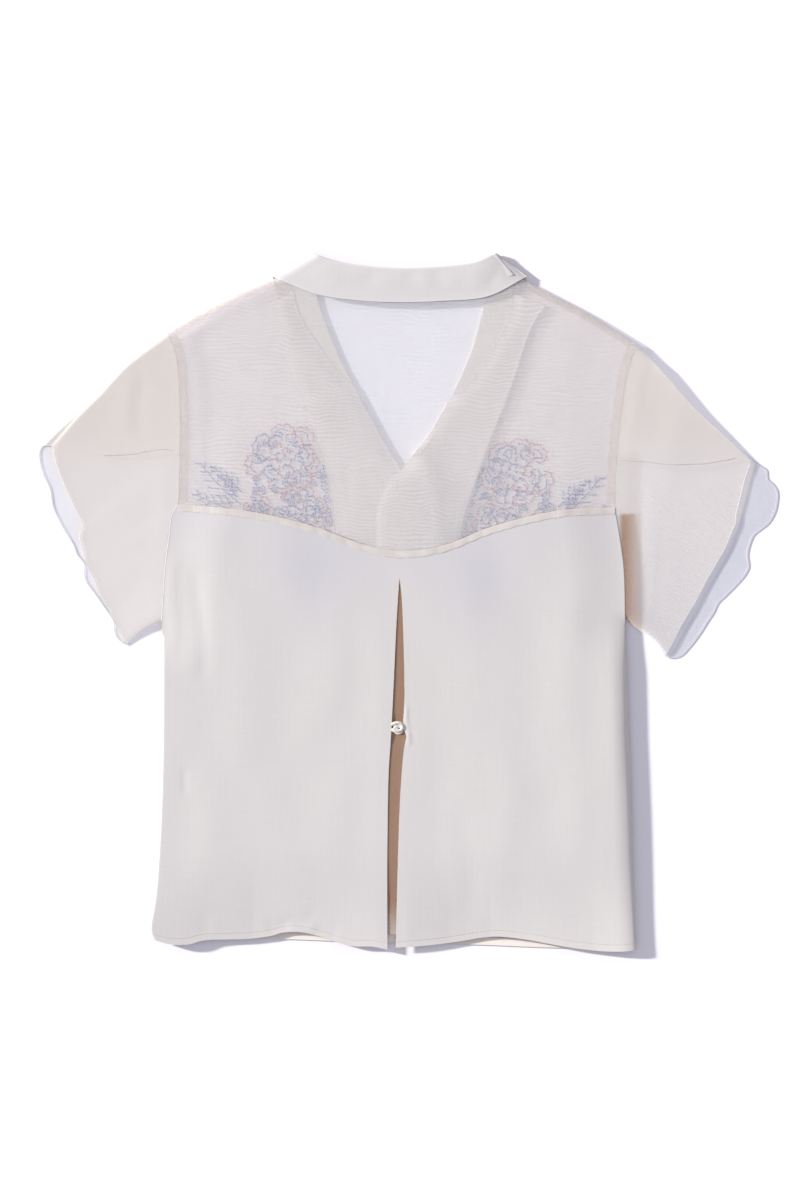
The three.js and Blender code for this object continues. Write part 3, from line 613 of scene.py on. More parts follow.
def dashes(line, length=STITCH, pitch=STITCH_PITCH):
    """Starts and ends of stitches, evenly along a line of points."""
    line = np.asarray(line, float)
    run = np.concatenate([[0], np.cumsum(np.linalg.norm(np.diff(line, axis=0), axis=1))])
    start = np.arange(0.1, max(run[-1] - length, 0.11), pitch)
    at = lambda s: np.stack([np.interp(s, run, line[:, k]) for k in range(line.shape[1])], -1)
    return at(start), at(start + length)


def heading(angle):
    return np.stack([np.cos(angle), np.sin(angle)], -1)


def petal(centre, turn, inner, outer, width, frills):
    """The frilled outline of one petal, from one foot round its tip to the other."""
    s = np.linspace(0.03, 0.97, 60) * math.pi
    ruffle = 1 + 0.075 * np.sin(frills * s) + 0.045 * np.sin(2.3 * frills * s + 1)
    reach = inner + (outer - inner) * np.sin(s) ** 0.5 * ruffle
    angle = turn + width * np.cos(s) * (0.72 + 0.28 * np.sin(s))
    return centre + reach[:, None] * heading(angle)


PETAL_RINGS = [
    # foot and tip of the petals, as parts of the flower's size, their number, half width and share in rose
    (0.62, 1.0, 7, 0.5, 0.85),
    (0.4, 0.74, 6, 0.56, 0.35),
    (0.18, 0.5, 5, 0.66, 0.5),
    (0.03, 0.26, 3, 0.8, 0.3),
]


def bloom(centre, size, chance):
    """A full-blown flower: rings of ruffled petals, the outer edges in rose, the folds in blue."""
    lines = []
    for ring, (inner, outer, count, width, rosy) in enumerate(PETAL_RINGS):
        shift = chance.uniform(0, 6.28)
        for k in range(count):
            turn = shift + (k + chance.uniform(-0.2, 0.2)) * 2 * math.pi / count
            reach = size * outer * chance.uniform(0.84, 1.06)
            spread = width * chance.uniform(0.85, 1.1)
            outline = petal(centre, turn, size * inner * 0.8, reach, spread, 11)
            lines.append((ROSE if chance.random() < rosy else BLUE, outline))
            if size > 26 and ring < 2:
                inside = petal(centre, turn + 0.05, size * inner, reach - 0.13 * size, spread * 0.62, 5)
                lines.append((BLUE, inside[8:-8]))
            for fold in chance.uniform(-0.7, 0.7, 4 if ring < 2 else 2):
                angle = turn + fold * spread
                low, high = size * inner * 0.95, reach - size * chance.uniform(0.14, 0.26)
                bend = np.linspace(0, 1, 6)
                arc = angle + 0.16 * bend * bend * np.sign(fold)
                r = low + (high - low) * bend
                lines.append((BLUE, centre + r[:, None] * heading(arc)))
    return lines


def leaf(foot, angle, length, chance):
    """A small ragged leaf: two curved sides and the vein between them."""
    t = np.linspace(0, 1, 14)
    along = np.array([math.cos(angle), math.sin(angle)])
    across = np.array([-math.sin(angle), math.cos(angle)])
    width = length * chance.uniform(0.24, 0.34)
    ragged = np.sin(math.pi * t) * (1 + 0.2 * np.sin(17 * t))
    sides = [foot + np.outer(t * length, along) + np.outer(way * width * ragged, across) for way in (-1, 1)]
    return [(BLUE, side) for side in sides] + [(BLUE, foot + np.outer(t[3:-3] * length, along))]


def sprig(foot, angle, length, curl, chance):
    """A fern-like sprig: a stem that curls, with single twigs along both sides of it."""
    turn = angle + curl * np.linspace(0, 1, 24)
    stem = foot + np.cumsum(heading(turn) * length / 23, axis=0)
    lines = [(BLUE, stem)]
    for k in range(2, 23, 2):
        way = 1 if k % 4 else -1
        reach = length * 0.27 * (1.05 - 0.75 * k / 23) * chance.uniform(0.85, 1.15)
        bend = turn[k] + way * np.linspace(0.95, 0.5, 5)
        lines.append((BLUE, stem[k] + np.cumsum(heading(bend) * reach / 4, axis=0)))
    return lines


BLOOMS = [
    # x and y of the middle, and the size, on the left front
    (-120, 139, 37),
    (-104, 84, 29),
    (-146, 88, 15),
    (-98, 26, 24),
    (-140, 30, 22),
]
SPRIGS = [
    # x, y, angle, length, curl
    (-160, 92, 2.5, 58, -0.3),
    (-160, 86, 2.9, 50, -0.25),
    (-166, 100, 2.1, 26, 0.3),
    (-178, 86, 3.3, 30, 0.2),
    (-160, 104, 2.3, 40, 0.25),
    (-152, 78, 3.15, 46, -0.15),
    (-166, 74, 2.65, 36, 0.25),
    (-158, 66, 3.6, 38, 0.2),
    (-150, 16, 3.9, 42, -0.3),
    (-112, 4, 4.5, 38, 0.3),
    (-84, 118, 1.2, 30, -0.2),
]


def foliage(chance):
    """Leaves that fill the bouquet where no flower lies."""
    lines = []
    for y in np.arange(8, 150, LEAF_GRID):
        for x in np.arange(-158, -66, LEAF_GRID):
            foot = np.array([x, y]) + chance.uniform(-3, 3, 2)
            outside = abs(foot[0] + 112) > 52 - abs(foot[1] - 74) * 0.25 or (foot[1] > 118 and foot[0] < -88)
            covered = any(math.hypot(foot[0] - a, foot[1] - b) < size * 0.97 for a, b, size in BLOOMS)
            if not (outside or covered):
                lines += leaf(foot, chance.uniform(0.2, 3.0), chance.uniform(8.5, 12), chance)
    return lines


def speckled(name, dark, light, speckle, **values):
    """A finish with a fine speckle between two colours."""
    made, tree = finish(name, **values)
    paint(tree, blend_colours(tree, noise(tree, place_in(tree), **speckle), dark, light))
    return made


thread_finish = {
    colour: speckled("thread_" + colour, dark, light, {"Scale": 240.0, "Detail": 1.0}, roughness=0.45, sheen=0.3)
    for colour, dark, light in (
        (ROSE, dyed(166, 36, 44), dyed(190, 62, 66)),
        (BLUE, dyed(20, 34, 150), dyed(44, 62, 172)),
    )
}

# The right front carries the mirror image, a little lower and closer in.
for side, way, seed, outer, level, shift in (
    ("left", 1, 11, FACING_LEFT, front_left_level, (0.0, 0.0)),
    ("right", -1, 12, FACING_RIGHT, front_right_level, (-15.0, -14.0)),
):
    chance = np.random.default_rng(seed)
    lines = [line for x, y, size in BLOOMS for line in bloom(np.array([x, y], float), size, chance)]
    lines += [line for x, y, *rest in SPRIGS for line in sprig(np.array([x, y], float), *rest, chance)]
    lines += foliage(chance)
    for colour in (ROSE, BLUE):
        pairs = [dashes(line) for kind, line in lines if kind == colour]
        ends = np.concatenate([np.stack(pair, 1) for pair in pairs])
        ends = ends + chance.normal(0, 0.22, ends.shape)
        ends = ends * (way, 1) + shift
        x, y = ends.mean(axis=1).T
        ends = ends[way * (x - read_at(outer, y)) < -FACING_GAP]
        x, y = ends[..., 0], ends[..., 1]
        ends = np.dstack([ends, level(x, y) + HALF_WALL + folds(x, y, FRONT_FOLDS) + THREAD_LIFT])
        wear(stitches(f"embroidery_{colour}_{side}", ends[:, 0], ends[:, 1]), thread_finish[colour])

# ------------------------ the back: a sheer yoke and two silk panels
# A deep organza yoke joins two lower panels of crepe silk along a seam shaped like a shallow bell.
# The panels part at a slit up the middle, their edges and their hems turned in and stitched down.

NECK_BACK = [(-115, 318), (-60, 300), (-5, 295), (50, 299), (104, 316)]
YOKE_SEAM = [
    (-222.5, 94), (-156, 87.5), (-95, 73.5), (-40, 54), (-8, 48.5), (34, 54), (82, 72.5), (147, 88), (200.5, 91),
]
BACK_HEM_LEFT = [
    (-248, -328), (-231, -332.6), (-213, -332.9), (-198, -329), (-155, -327.5), (-132, -324.5), (-121, -321.4),
    (-104, -321), (-88, -324.5), (-68, -331), (-53, -334.6), (-35, -335), (-20, -338),
]
BACK_HEM_RIGHT = [
    (-12, -336), (10, -334.5), (29, -332.4), (50, -329.4), (72, -325.6), (86, -324.5), (102, -325.6), (118, -327.7),
    (135, -330.7), (156, -334.3), (173, -336.4), (194, -338), (213, -337.5), (221, -336),
]
SLIT_EDGE_LEFT = [
    (-20, -338), (-20, -240), (-18.8, -167), (-16.8, -136), (-14.8, -99), (-12.4, -47), (-11.1, -20), (-9.8, 1),
    (-8.4, 22),
]
SLIT_EDGE_RIGHT = [
    (-12, -336), (-9.5, -240), (-7.6, -190), (-5.8, -163), (-4.0, -144.5), (-2.5, -136), (-1.5, -131), (-3.1, -127),
    (-4.2, -122), (-4.8, -117), (-4.3, -111), (-3.7, -101), (-3.4, -93), (-3.6, -70), (-4.5, -34), (-5.8, -1),
    (-7.1, 14), (-8.4, 22),
]
BACK_LOFT, YOKE_LOFT = 7.3, 5.4  # middle of the cloth above the surface
BACK_ROUNDING = {"left": 2.5, "right": 17}
# Height of the middle of the cloth along the sides, by y, and how far it sinks towards the hem, by x.
SIDE_EDGE_LEFT = ([-330, 0, 90, 240, 300], [4.0, 4.1, 4.1, 4.1, 2.9])
SIDE_EDGE_RIGHT = ([-338, -270, -200, -130, -60, 20, 90, 230, 290], [4.6, 4.5, 4.1, 3.2, 3.9, 4.3, 4.1, 3.6, 2.6])
HEM_SINK = (
    [-248, -205, -150, -90, -30, 0, 40, 80, 130, 180, 221],
    [0.4, 1.9, 3.6, 3.6, 2.6, 2.6, 3.8, 4.2, 3.2, 2.2, 0.6],
)
ARMHOLES = [sampled(rows) for rows in (SCYE_LEFT, SCYE_RIGHT, ARMHOLE_LEFT, ARMHOLE_RIGHT)]


def unevenness(x, y):
    """The slight waviness of cloth that nothing presses flat."""
    broad = np.sin(x / 19 + 1.4 * np.sin(y / 61)) * np.sin(y / 83 + 0.7 * np.sin(x / 37))
    fine = np.sin(x / 9.5 + 2.2 * np.sin(y / 47))
    return 0.09 * broad + 0.04 * fine


def back_level(x, y):
    """Height of the middle of the back's cloth. It sinks to its hem, and rounds off wider on the right."""
    below = 1 - smoothstep(110, 250, y)
    loft = YOKE_LOFT + (BACK_LOFT - YOKE_LOFT) * below * smoothstep(0, 55, distance_to(ARMHOLES, x, y))
    loft = loft - np.interp(x, *HEM_SINK) * (1 - smoothstep(-334, -236, y))
    side = np.where(x > 0, np.interp(y, *SIDE_EDGE_RIGHT), np.interp(y, *SIDE_EDGE_LEFT))
    width = np.where(x > 0, BACK_ROUNDING["right"], BACK_ROUNDING["left"])
    return closing(side, loft, x, y, width) + unevenness(x, y)


yoke_seam = edge(YOKE_SEAM)
yoke_shape = panel(
    bottom=yoke_seam,
    top=edge(SHOULDER_LEFT, NECK_BACK, SHOULDER_RIGHT[::-1]),
    left=edge(ARMHOLE_LEFT),
    right=edge(ARMHOLE_RIGHT),
)
YOKE_FOLDS = [
    # x, y, x, y, half width, height
    (-211, 110, -208, 262, 7, -0.1),
    (-168, 110, -166, 270, 8, 0.05),
    (-150, 110, -148, 262, 9, -0.05),
    (120, 96, 122, 270, 12, 0.05),
    (146, 98, 150, 270, 8, -0.05),
    (190, 100, 198, 240, 6, -0.08),
]
YOKE_SIZE, YOKE_CELL = (430, 240), 2.6
COLLAR_PRESS = 0.3  # how far the collar presses the yoke down
u, v = (EASE + spaced(length, YOKE_CELL) * (1 - 2 * EASE) for length in YOKE_SIZE)
xy = yoke_shape(u[None, :], v[:, None])
x, y = xy[..., 0], xy[..., 1]
z = back_level(x, y) + folds(x, y, YOKE_FOLDS) - COLLAR_PRESS * smoothstep(266, 286, y)
yoke_organza = organza("organza_yoke", dyed(200, 199, 200), dyed(247, 248, 250), ORGANZA_ALPHA, waver=16.0)
back_yoke = wear(lay("yoke", np.dstack([x, y, z])), yoke_organza, "back_yoke")

closed_seam = [SLIT_EDGE_LEFT[-1], tuple(yoke_seam(0.5))]
back_left_shape = panel(
    bottom=edge(BACK_HEM_LEFT),
    top=lambda t: yoke_seam(0.5 * np.asarray(t)),
    left=edge(SIDE_LEFT, SCYE_LEFT),
    right=edge(SLIT_EDGE_LEFT, closed_seam),
)
back_right_shape = panel(
    bottom=edge(BACK_HEM_RIGHT),
    top=lambda t: yoke_seam(0.5 + 0.5 * np.asarray(t)),
    left=edge(SLIT_EDGE_RIGHT, closed_seam),
    right=edge(SIDE_RIGHT, SCYE_RIGHT),
)
PANEL_WIDTH, PANEL_LENGTH = 228, 408
HEM = 7.0
HEM_STITCH, HEM_PITCH = 1.9, 2.7
HEM_LIFT, STITCH_DIP = 0.05, 0.04  # of the turned hem, and of the cloth along its stitches
SLIT_TURN = 1.1  # width of the turned edge that shows at the slit
# Rows of the mesh from the hem up, and its columns from the slit to the side.
panel_rows = np.concatenate([
    [0, 0.5, 1, 2, 3.2, 4.4, 5.4, 6.2, 6.8, 7.4, 8.2, 9.6, 11.4], np.linspace(13.4, PANEL_LENGTH, 184),
])
panel_columns = np.concatenate([
    [0, 0.35, 0.7, 1.1, 1.6, 2.3, 3.1, 4.1, 5.3], np.linspace(6.9, 222, 99),
    [224, 225.4, 226.4, 227.1, 227.6, PANEL_WIDTH],
])
BACK_FOLDS = [
    # x, y, x, y, half width, height
    (-228, 60, -228, -62, 7, 0.3),
    (-205, 50, -196, -96, 8, -0.3),
    (-170, 30, -160, -180, 20, 0.2),
    (-120, 0, -108, -240, 24, -0.25),
    (-66, 40, -74, -140, 16, 0.2),
    (-46, -40, -52, -320, 15, -0.1),
    (-27, 10, -31, -330, 8, 0.04),
    (-216, -160, -217, -190, 4, -0.2),
    (-190, -120, -206, -320, 18, 0.25),
    (-196, -300, -197, -328, 6, -0.12),
    (-138, -322, -112, -308, 7, -0.2),
    (-122, -309, -84, -309.5, 7, -0.22),
    (-92, -309, -66, -328, 7, -0.2),
    (-122, -318, -84, -319, 5, 0.15),
    (30, -10, 28, -320, 14, -0.1),
    (60, 60, 62, -180, 18, 0.2),
    (54, -180, 62, -335, 13, -0.22),
    (96, -120, 92, -330, 18, 0.3),
    (118, 60, 124, -240, 22, -0.25),
    (160, 50, 163, -300, 18, 0.25),
    (192, 20, 196, -310, 12, 0.1),
    (-1.6, -98, -0.6, -126, 2.2, 0.22),
    (-0.4, -124, 1.8, -142, 2.6, 0.25),
    (0.6, -100, 1.6, -123, 1.1, -0.08),
    (2, -122, 6.2, -133, 1.3, -0.1),
    (6.2, -133, 2.2, -144, 1.3, -0.1),
]


BOUQUETS = [
    # x and y of the middle, and the reach in x and in y, of the embroidery that shows through
    (-92, 30, 40, 46),
    (70, 18, 34, 46),
]


def seam_height(x):
    return np.interp(x, *yoke_seam(np.linspace(0, 1, 200)).T)


def silk_panel(name, shape, slit_on_right):
    """A lower back panel, its mesh close together along the hem and the slit."""
    beside = panel_columns[::-1] if slit_on_right else panel_columns
    u = (1 - beside / PANEL_WIDTH) * (1 - EASE) + EASE if slit_on_right else beside / PANEL_WIDTH * (1 - EASE)
    xy = shape(u[None, :], panel_rows[:, None] / PANEL_LENGTH * (1 - EASE))
    x, y = xy[..., 0], xy[..., 1]
    up, beside = np.broadcast_arrays(panel_rows[:, None], beside[None, :])
    hem = 1 - smoothstep(HEM - 0.4, HEM + 0.7, up)
    turn = (1 - smoothstep(SLIT_TURN - 0.5, SLIT_TURN + 0.5, beside)) * (1 - smoothstep(16, 23, y))
    z = back_level(x, y) + folds(x, y, BACK_FOLDS)
    z += HEM_LIFT * hem - STITCH_DIP * np.exp(-(((up - HEM + 0.5) / 0.7) ** 2))
    under_seam = 1 - smoothstep(0, 75, seam_height(x) - y)
    bouquet = sum(np.exp(-(((x - cx) / reach) ** 2) - (((y - cy) / rise) ** 2)) for cx, cy, reach, rise in BOUQUETS)
    # The lighter hem tint marks the hem's double cloth; on the right panel it also lies along the turned slit edge,
    # there as a painted highlight.
    light = np.maximum(hem, turn * (0 if slit_on_right else 0.7))
    marks = [("hem", light), ("under_seam", under_seam), ("bouquet", bouquet)]
    return lay(name, np.dstack([x, y, z]), marks=marks)


def crepe(name, dark, light, marks, cloud=None):
    """Crepe silk with the tints of its marks, clouded with a colour where one is given."""
    made, tree = finish(name, roughness=0.5, sheen=0.2, specular=0.25)
    place = place_in(tree)
    woven = effect(tree, weave, place, Threads=700.0, Slubs=0.7)
    colour = blend_colours(tree, woven["Tone"], dark, light)
    if cloud:
        cloudy = noise(tree, place, Scale=7.0, Detail=2.0)
        colour = blend_colours(tree, maths(tree, "MULTIPLY", cloudy, 0.3), colour, cloud)
    paint(tree, tinted(tree, colour, marks), woven["Height"], depth=0.00006)
    return made


silk_tints = [
    ("under_seam", dyed(203, 200, 201), 0.7),
    ("bouquet", dyed(182, 183, 198), 0.35),
    # on the right panel's slit edge this tint is a painted highlight
    ("hem", dyed(214, 209, 203), 0.35),
]
silk = crepe("crepe_silk", dyed(203, 200, 197), dyed(211, 209, 207), silk_tints, cloud=dyed(206, 201, 194))
for side, shape in (("left", back_left_shape), ("right", back_right_shape)):
    cloth = wear(silk_panel("lower_back_" + side, shape, side == "left"), silk, "back_" + side)

# One straight row of stitches holds each hem, a little below its turned edge.
ivory = dyed(178, 171, 162), dyed(206, 201, 194)
silk_thread = speckled("thread_ivory", *ivory, {"Scale": 300.0}, roughness=0.5, sheen=0.2)
for side, shape in (("left", back_left_shape), ("right", back_right_shape)):
    xy = shape(np.linspace(0.004, 0.996, 240), (HEM - 0.6) / PANEL_LENGTH)
    row = np.column_stack([xy, back_level(*xy.T) + folds(*xy.T, BACK_FOLDS) + WALL / 2 + 0.06])
    sewn = stitches("hem_stitches_" + side, *dashes(row, HEM_STITCH, HEM_PITCH), width=0.4, height=0.28)
    wear(sewn, silk_thread)

# ------------------------ seam allowances
# The raw edges of the yoke, armhole and shoulder seams are bound together and pressed flat. They lie
# on the outside of the sheer cloth as narrow strips, several layers thick, slightly puckered.

SEAM_LIFT = 0.2
# Width and direction of each strip, from its seam inwards.
YOKE_BINDING, ARMHOLE_BINDING, SHOULDER_BINDING = (0, -6.9), (8.5, 0), (3.3, -6.2)


def seam_finish(name, alpha, dark, light, patch):
    """Bound cloth, patchy, and darker in its puckers as painted shade."""
    made, tree = finish(name, roughness=0.6, alpha=alpha, sheen=0.15)
    place = place_in(tree)
    woven = effect(tree, weave, place, Slubs=1.2)
    stained = maths(tree, "ADD", noise(tree, place, Scale=60.0, Detail=2.0), -0.35, clamp=True)
    stained = maths(tree, "MULTIPLY", stained, 1.4, clamp=True)
    # The troughs of the puckers are darkened: painted shade, added to the random stains.
    pucker = node(tree, "ShaderNodeAttribute", attribute_name="pucker").outputs["Fac"]
    stains_and_pucker_shade = maths(tree, "ADD", stained, maths(tree, "MULTIPLY", pucker, 0.4), clamp=True)
    colour = blend_colours(tree, woven["Tone"], dark, light)
    paint(tree, blend_colours(tree, stains_and_pucker_shade, colour, patch), woven["Height"])
    return made


bound = seam_finish("bound_seam", 1.0, dyed(205, 200, 194), dyed(216, 212, 207), dyed(196, 189, 181))
bound_sheer = seam_finish("bound_seam_sheer", 0.12, dyed(206, 193, 178), dyed(223, 211, 197), dyed(190, 175, 158))


def seam_strip(cad, whole, start, end, aside, length, puckers, cloth):
    """A strip from an edge to as far as aside points. puckers is how high its puckers stand."""
    u, v = spaced(length, 1.6), np.linspace(0, 1, 8)
    xy = whole(start + (end - start) * u)[None] + np.array(aside)[None, None] * v[:, None, None]
    ragged = 0.25 * np.sin(u * length / 2.3 + 2 * np.sin(u * length / 17))
    xy = xy + np.array(aside)[None, None] / np.hypot(*aside) * (ragged[None, :] * v[:, None])[..., None]
    x, y = xy[..., 0], xy[..., 1]
    s = np.broadcast_to((u * length)[None, :], x.shape)
    ripple = np.sin(s / 3.1 + 2.4 * np.sin(s / 23)) * (0.45 + 0.55 * np.sin(s / 41 + 1.0) ** 2)
    crown = (1 - (2 * v[:, None] - 1) ** 4) * 0.05
    z = back_level(x, y) + SEAM_LIFT + crown + puckers * ripple * (0.4 + 0.6 * v[:, None])
    # The pucker mark is how deep each point lies in a trough; the finish darkens it as painted shade.
    made = lay("bound_" + cad, np.dstack([x, y, z]), marks=[("pucker", np.clip(-ripple, 0, 1))])
    return wear(made, cloth, cad)


bindings = [seam_strip("yoke_seam", yoke_seam, 0, 1, YOKE_BINDING, 436, 0.05, bound)]
for side, armhole, shoulder, way in (
    ("left", ARMHOLE_LEFT, SHOULDER_LEFT, 1),
    ("right", ARMHOLE_RIGHT, SHOULDER_RIGHT, -1),
):
    aside = [(way * across, along) for across, along in (ARMHOLE_BINDING, SHOULDER_BINDING)]
    bindings += [
        seam_strip("armhole_seam_" + side, edge(armhole), 0.02, 1, aside[0], 164, 0.03, bound_sheer),
        seam_strip("shoulder_seam_" + side, edge(shoulder), 0.04, 0.88, aside[1], 102, 0, bound_sheer),
    ]

# ------------------------ the camp collar
# One silk band round the neck, stand and leaf in one. At the back its leaf folds down over the yoke.
# At each shoulder it turns under along a pressed crease, and the front ends lie on the surface.

ROLL_BACK = [(-92.5, 337.5), (-69, 330), (-40, 325.5), (-6, 323.7), (34, 325.5), (62, 329), (85.5, 337.5)]
LEAF_BACK = [(-131.5, 314.5), (-86, 297), (-47, 291.3), (-7, 289.7), (34, 291), (77, 295.3), (115, 314.5)]
ROLL_LEFT = [(-53.6, 212), (-62.3, 228), (-78.6, 266), (-88.5, 297), (-92.5, 337.5)]
ROLL_RIGHT = [(43.9, 202.2), (49.6, 214), (62, 243.5), (75, 292), (85.5, 337.5)]
LEAF_OUT_LEFT = [(-99, 201), (-109, 232), (-120, 268), (-131.5, 314.5)]
LEAF_OUT_RIGHT = [(88, 192), (97, 222), (111, 262), (115, 314.5)]
COLLAR_END = {"left": 0.04, "right": 0.03}  # where it starts along each side of the neck
SHIFT_X, SHIFT_Y = 0.6, 0.5  # its seam edge lies this far inside the neckline
COLLAR_WALL = 0.4
COLLAR_MIDDLE, STAND_REACH, LEAF_REACH = 3.6, 1.8, 3.1  # height of a crease, and how far the layers part
ROLL_DEPTH, STAND_INSET = 1.15, 1.9
LEAF_DROP = 1.15  # how far the leaf comes down from its roll at the back
FRONT_ROLL = 0.35  # share of the roll's depth left where it is pressed in front
CREASE_FADE = (8, 22)  # on the left and on the right
COLLAR_FOLDS = [
    # x, y, x, y, half width, height
    (-36, 327, -36, 302, 10, -0.2),
    (4, 326, 5, 300, 9, -0.2),
    (30, 326, 30, 300, 9, -0.22),
    (-12, 307, 58, 308, 4, 0.12),
    (-80, 330, -72, 300, 12, 0.15),
    (66, 328, 64, 296, 9, 0.15),
    (88, 332, 82, 300, 5, -0.2),
]


def collar_points():
    """Rows of points across the collar, from its left end round the back to its right end."""
    seam_back, roll_back, leaf_back = edge(NECK_BACK), edge(ROLL_BACK), edge(LEAF_BACK)
    creases = [(roll_back(t), leaf_back(t), seam_back(t)) for t in (0.0, 1.0)]
    front_t = np.concatenate([np.linspace(0, 0.93, 26), [0.955, 0.972, 0.983, 0.991, 0.996]])
    back_t = np.concatenate(
        [[0.003, 0.007, 0.012, 0.02, 0.03], np.linspace(0.045, 0.955, 84), [0.97, 0.98, 0.988, 0.993, 0.997]]
    )
    rows = []
    for neck, roll, leaf_out, start, way in (
        (NECK_LEFT, ROLL_LEFT, LEAF_OUT_LEFT, COLLAR_END["left"], 1),
        (NECK_RIGHT, ROLL_RIGHT, LEAF_OUT_RIGHT, COLLAR_END["right"], -1),
    ):
        inset = np.outer(1.4 * smoothstep(0.6, 1, front_t) - 0.4, (way * SHIFT_X, SHIFT_Y))
        seam = edge(neck)(start + (1 - start) * front_t) + inset
        rows.append([(*points, -1) for points in zip(seam, edge(roll)(front_t), edge(leaf_out)(front_t))])
    left, right = rows
    seam = seam_back(back_t) + np.stack([SHIFT_X * (1 - 2 * back_t), np.full(back_t.shape, SHIFT_Y)], -1)
    back = [(*points, 1) for points in zip(seam, roll_back(back_t), leaf_back(back_t))]
    ends = []
    for (roll, leaf_out, seam), way in zip(creases, (1, -1)):
        ends.append((seam + (way * SHIFT_X, SHIFT_Y), roll, leaf_out, 0))
    rows = left + ends[:1] + back + ends[1:] + right[::-1]

    # side is 1 at the back, where the leaf lies over the stand, -1 in front, where it lies under, and 0
    # at a crease. reach is how far a layer parts from the level of the crease.
    def height(p, side, reach, far):
        gaps = [float(distance_to([np.array([crease[0], crease[far]])], p[0], p[1])) for crease in creases]
        fades = CREASE_FADE if side == 1 and reach == LEAF_REACH else (reach, reach)
        return COLLAR_MIDDLE + side * reach * min(float(rounding(gap, fade)) for gap, fade in zip(gaps, fades))

    unit = lambda a: a / np.linalg.norm(a)
    grid = []
    for seam, roll, leaf_end, side in rows:
        inward, down = unit(seam - roll), unit(leaf_end - roll)
        across = np.array([-down[1], down[0]])
        across = across if across @ inward > 0 else -across
        turn = STAND_INSET if side == 0 else 0
        depth = ROLL_DEPTH if side >= 0 else ROLL_DEPTH * FRONT_ROLL
        stand_top = roll + inward * depth + across * turn
        leaf_top = roll + down * depth
        nose = roll + unit(inward + down) * NOSE + across * turn / 2
        stand, hang = [], []
        for t in np.linspace(0, 1, 7):
            p = seam + (stand_top - seam) * t
            stand.append((*p, height(p, side, STAND_REACH, 2)))
        for t in np.linspace(0, 1, 18):
            p = leaf_top + (leaf_end - leaf_top) * t
            drop = max(side, 0) * LEAF_DROP * float(smoothstep(0.1, 1, t))
            hang.append((*p, height(p, side, LEAF_REACH, 1) - drop))
        a, c = np.array(stand[-1]), np.array(hang[0])
        top = np.array([*nose, (a[2] + c[2]) / 2])
        pull = 2 * top - (a + c) / 2
        bend = [(1 - t) ** 2 * a + 2 * t * (1 - t) * pull + t * t * c for t in (0.2, 0.4, 0.6, 0.8)]
        grid.append([*stand, *bend, *hang])
    return np.array(grid), np.array([row[3] for row in rows])


collar_grid, collar_side = collar_points()
from_fold = np.arange(collar_grid.shape[1])
x, y = collar_grid[..., 0], collar_grid[..., 1]
relief = smoothstep(10, 15, from_fold) * (1 - 0.8 * smoothstep(20, 27, from_fold))
collar_grid[..., 2] += folds(x, y, COLLAR_FOLDS) * (collar_side == 1)[:, None] * relief[None]
lower_edge = np.zeros(x.shape)
lower_edge[:, -1:] = 1
in_front = np.broadcast_to((collar_side < 0).astype(float)[:, None], x.shape)
collar = lay("camp_collar", collar_grid, wall=COLLAR_WALL, marks=[("edge", lower_edge), ("in_front", in_front)])
collar_tints = [("edge", dyed(224, 221, 217), 0.5), ("in_front", dyed(219, 213, 202), 1)]
wear(collar, crepe("collar_silk", dyed(207, 204, 201), dyed(215, 213, 211), collar_tints), "collar")

# ------------------------ the sleeves
# Two short set-in organza sleeves, each a flat tube folded along its top, with a seam underneath and
# a pressed crease across it. The wavy hem of the layer below shows past the one above.

# Each sleeve has its outlines, then the heights of its upper layer, of the fold along its top and of its
# seam, at SLEEVE_RUN from the armhole out, and how wide its top rounds off.
SLEEVE_RUN = [0, 0.2, 0.45, 0.8, 1]
SLEEVE_LEFT = {
    "top": [(-234, 260), (-274, 229), (-299, 201), (-322, 177), (-344.5, 150)],
    "underarm": [(-238.5, -20), (-256, -29), (-273, -43)],
    "upper_hem": [
        (-344.5, 150), (-341.7, 137), (-336.7, 122), (-330.5, 107), (-323, 91), (-315.4, 74), (-318, 62), (-315, 49),
        (-310.5, 33), (-304, 21), (-299, 5), (-289, -10), (-283, -24), (-273, -43),
    ],
    "lower_hem": [
        (-344.5, 150), (-354, 150), (-357, 145), (-356, 132), (-352, 120), (-347, 109), (-343.7, 91), (-334, 71),
        (-325, 56), (-320.5, 45), (-314, 36), (-312.7, 21), (-304, 8), (-295.5, -4), (-285.5, -20), (-283, -34),
        (-273, -43),
    ],
    "crease": [(-297, 141), (-280, 141.6), (-267, 142.5), (-257, 144.4), (-247, 146), (-239, 147.2), (-229, 146.2)],
    "lofts": ([5.4, 4.6, 3.5, 1.95, 1.15], [2.8, 2.6, 2.2, 1.4, 0.95], [2.8, 2.4, 1.9, 1.2, 0.9]),
    "rounding": 3.5,
}
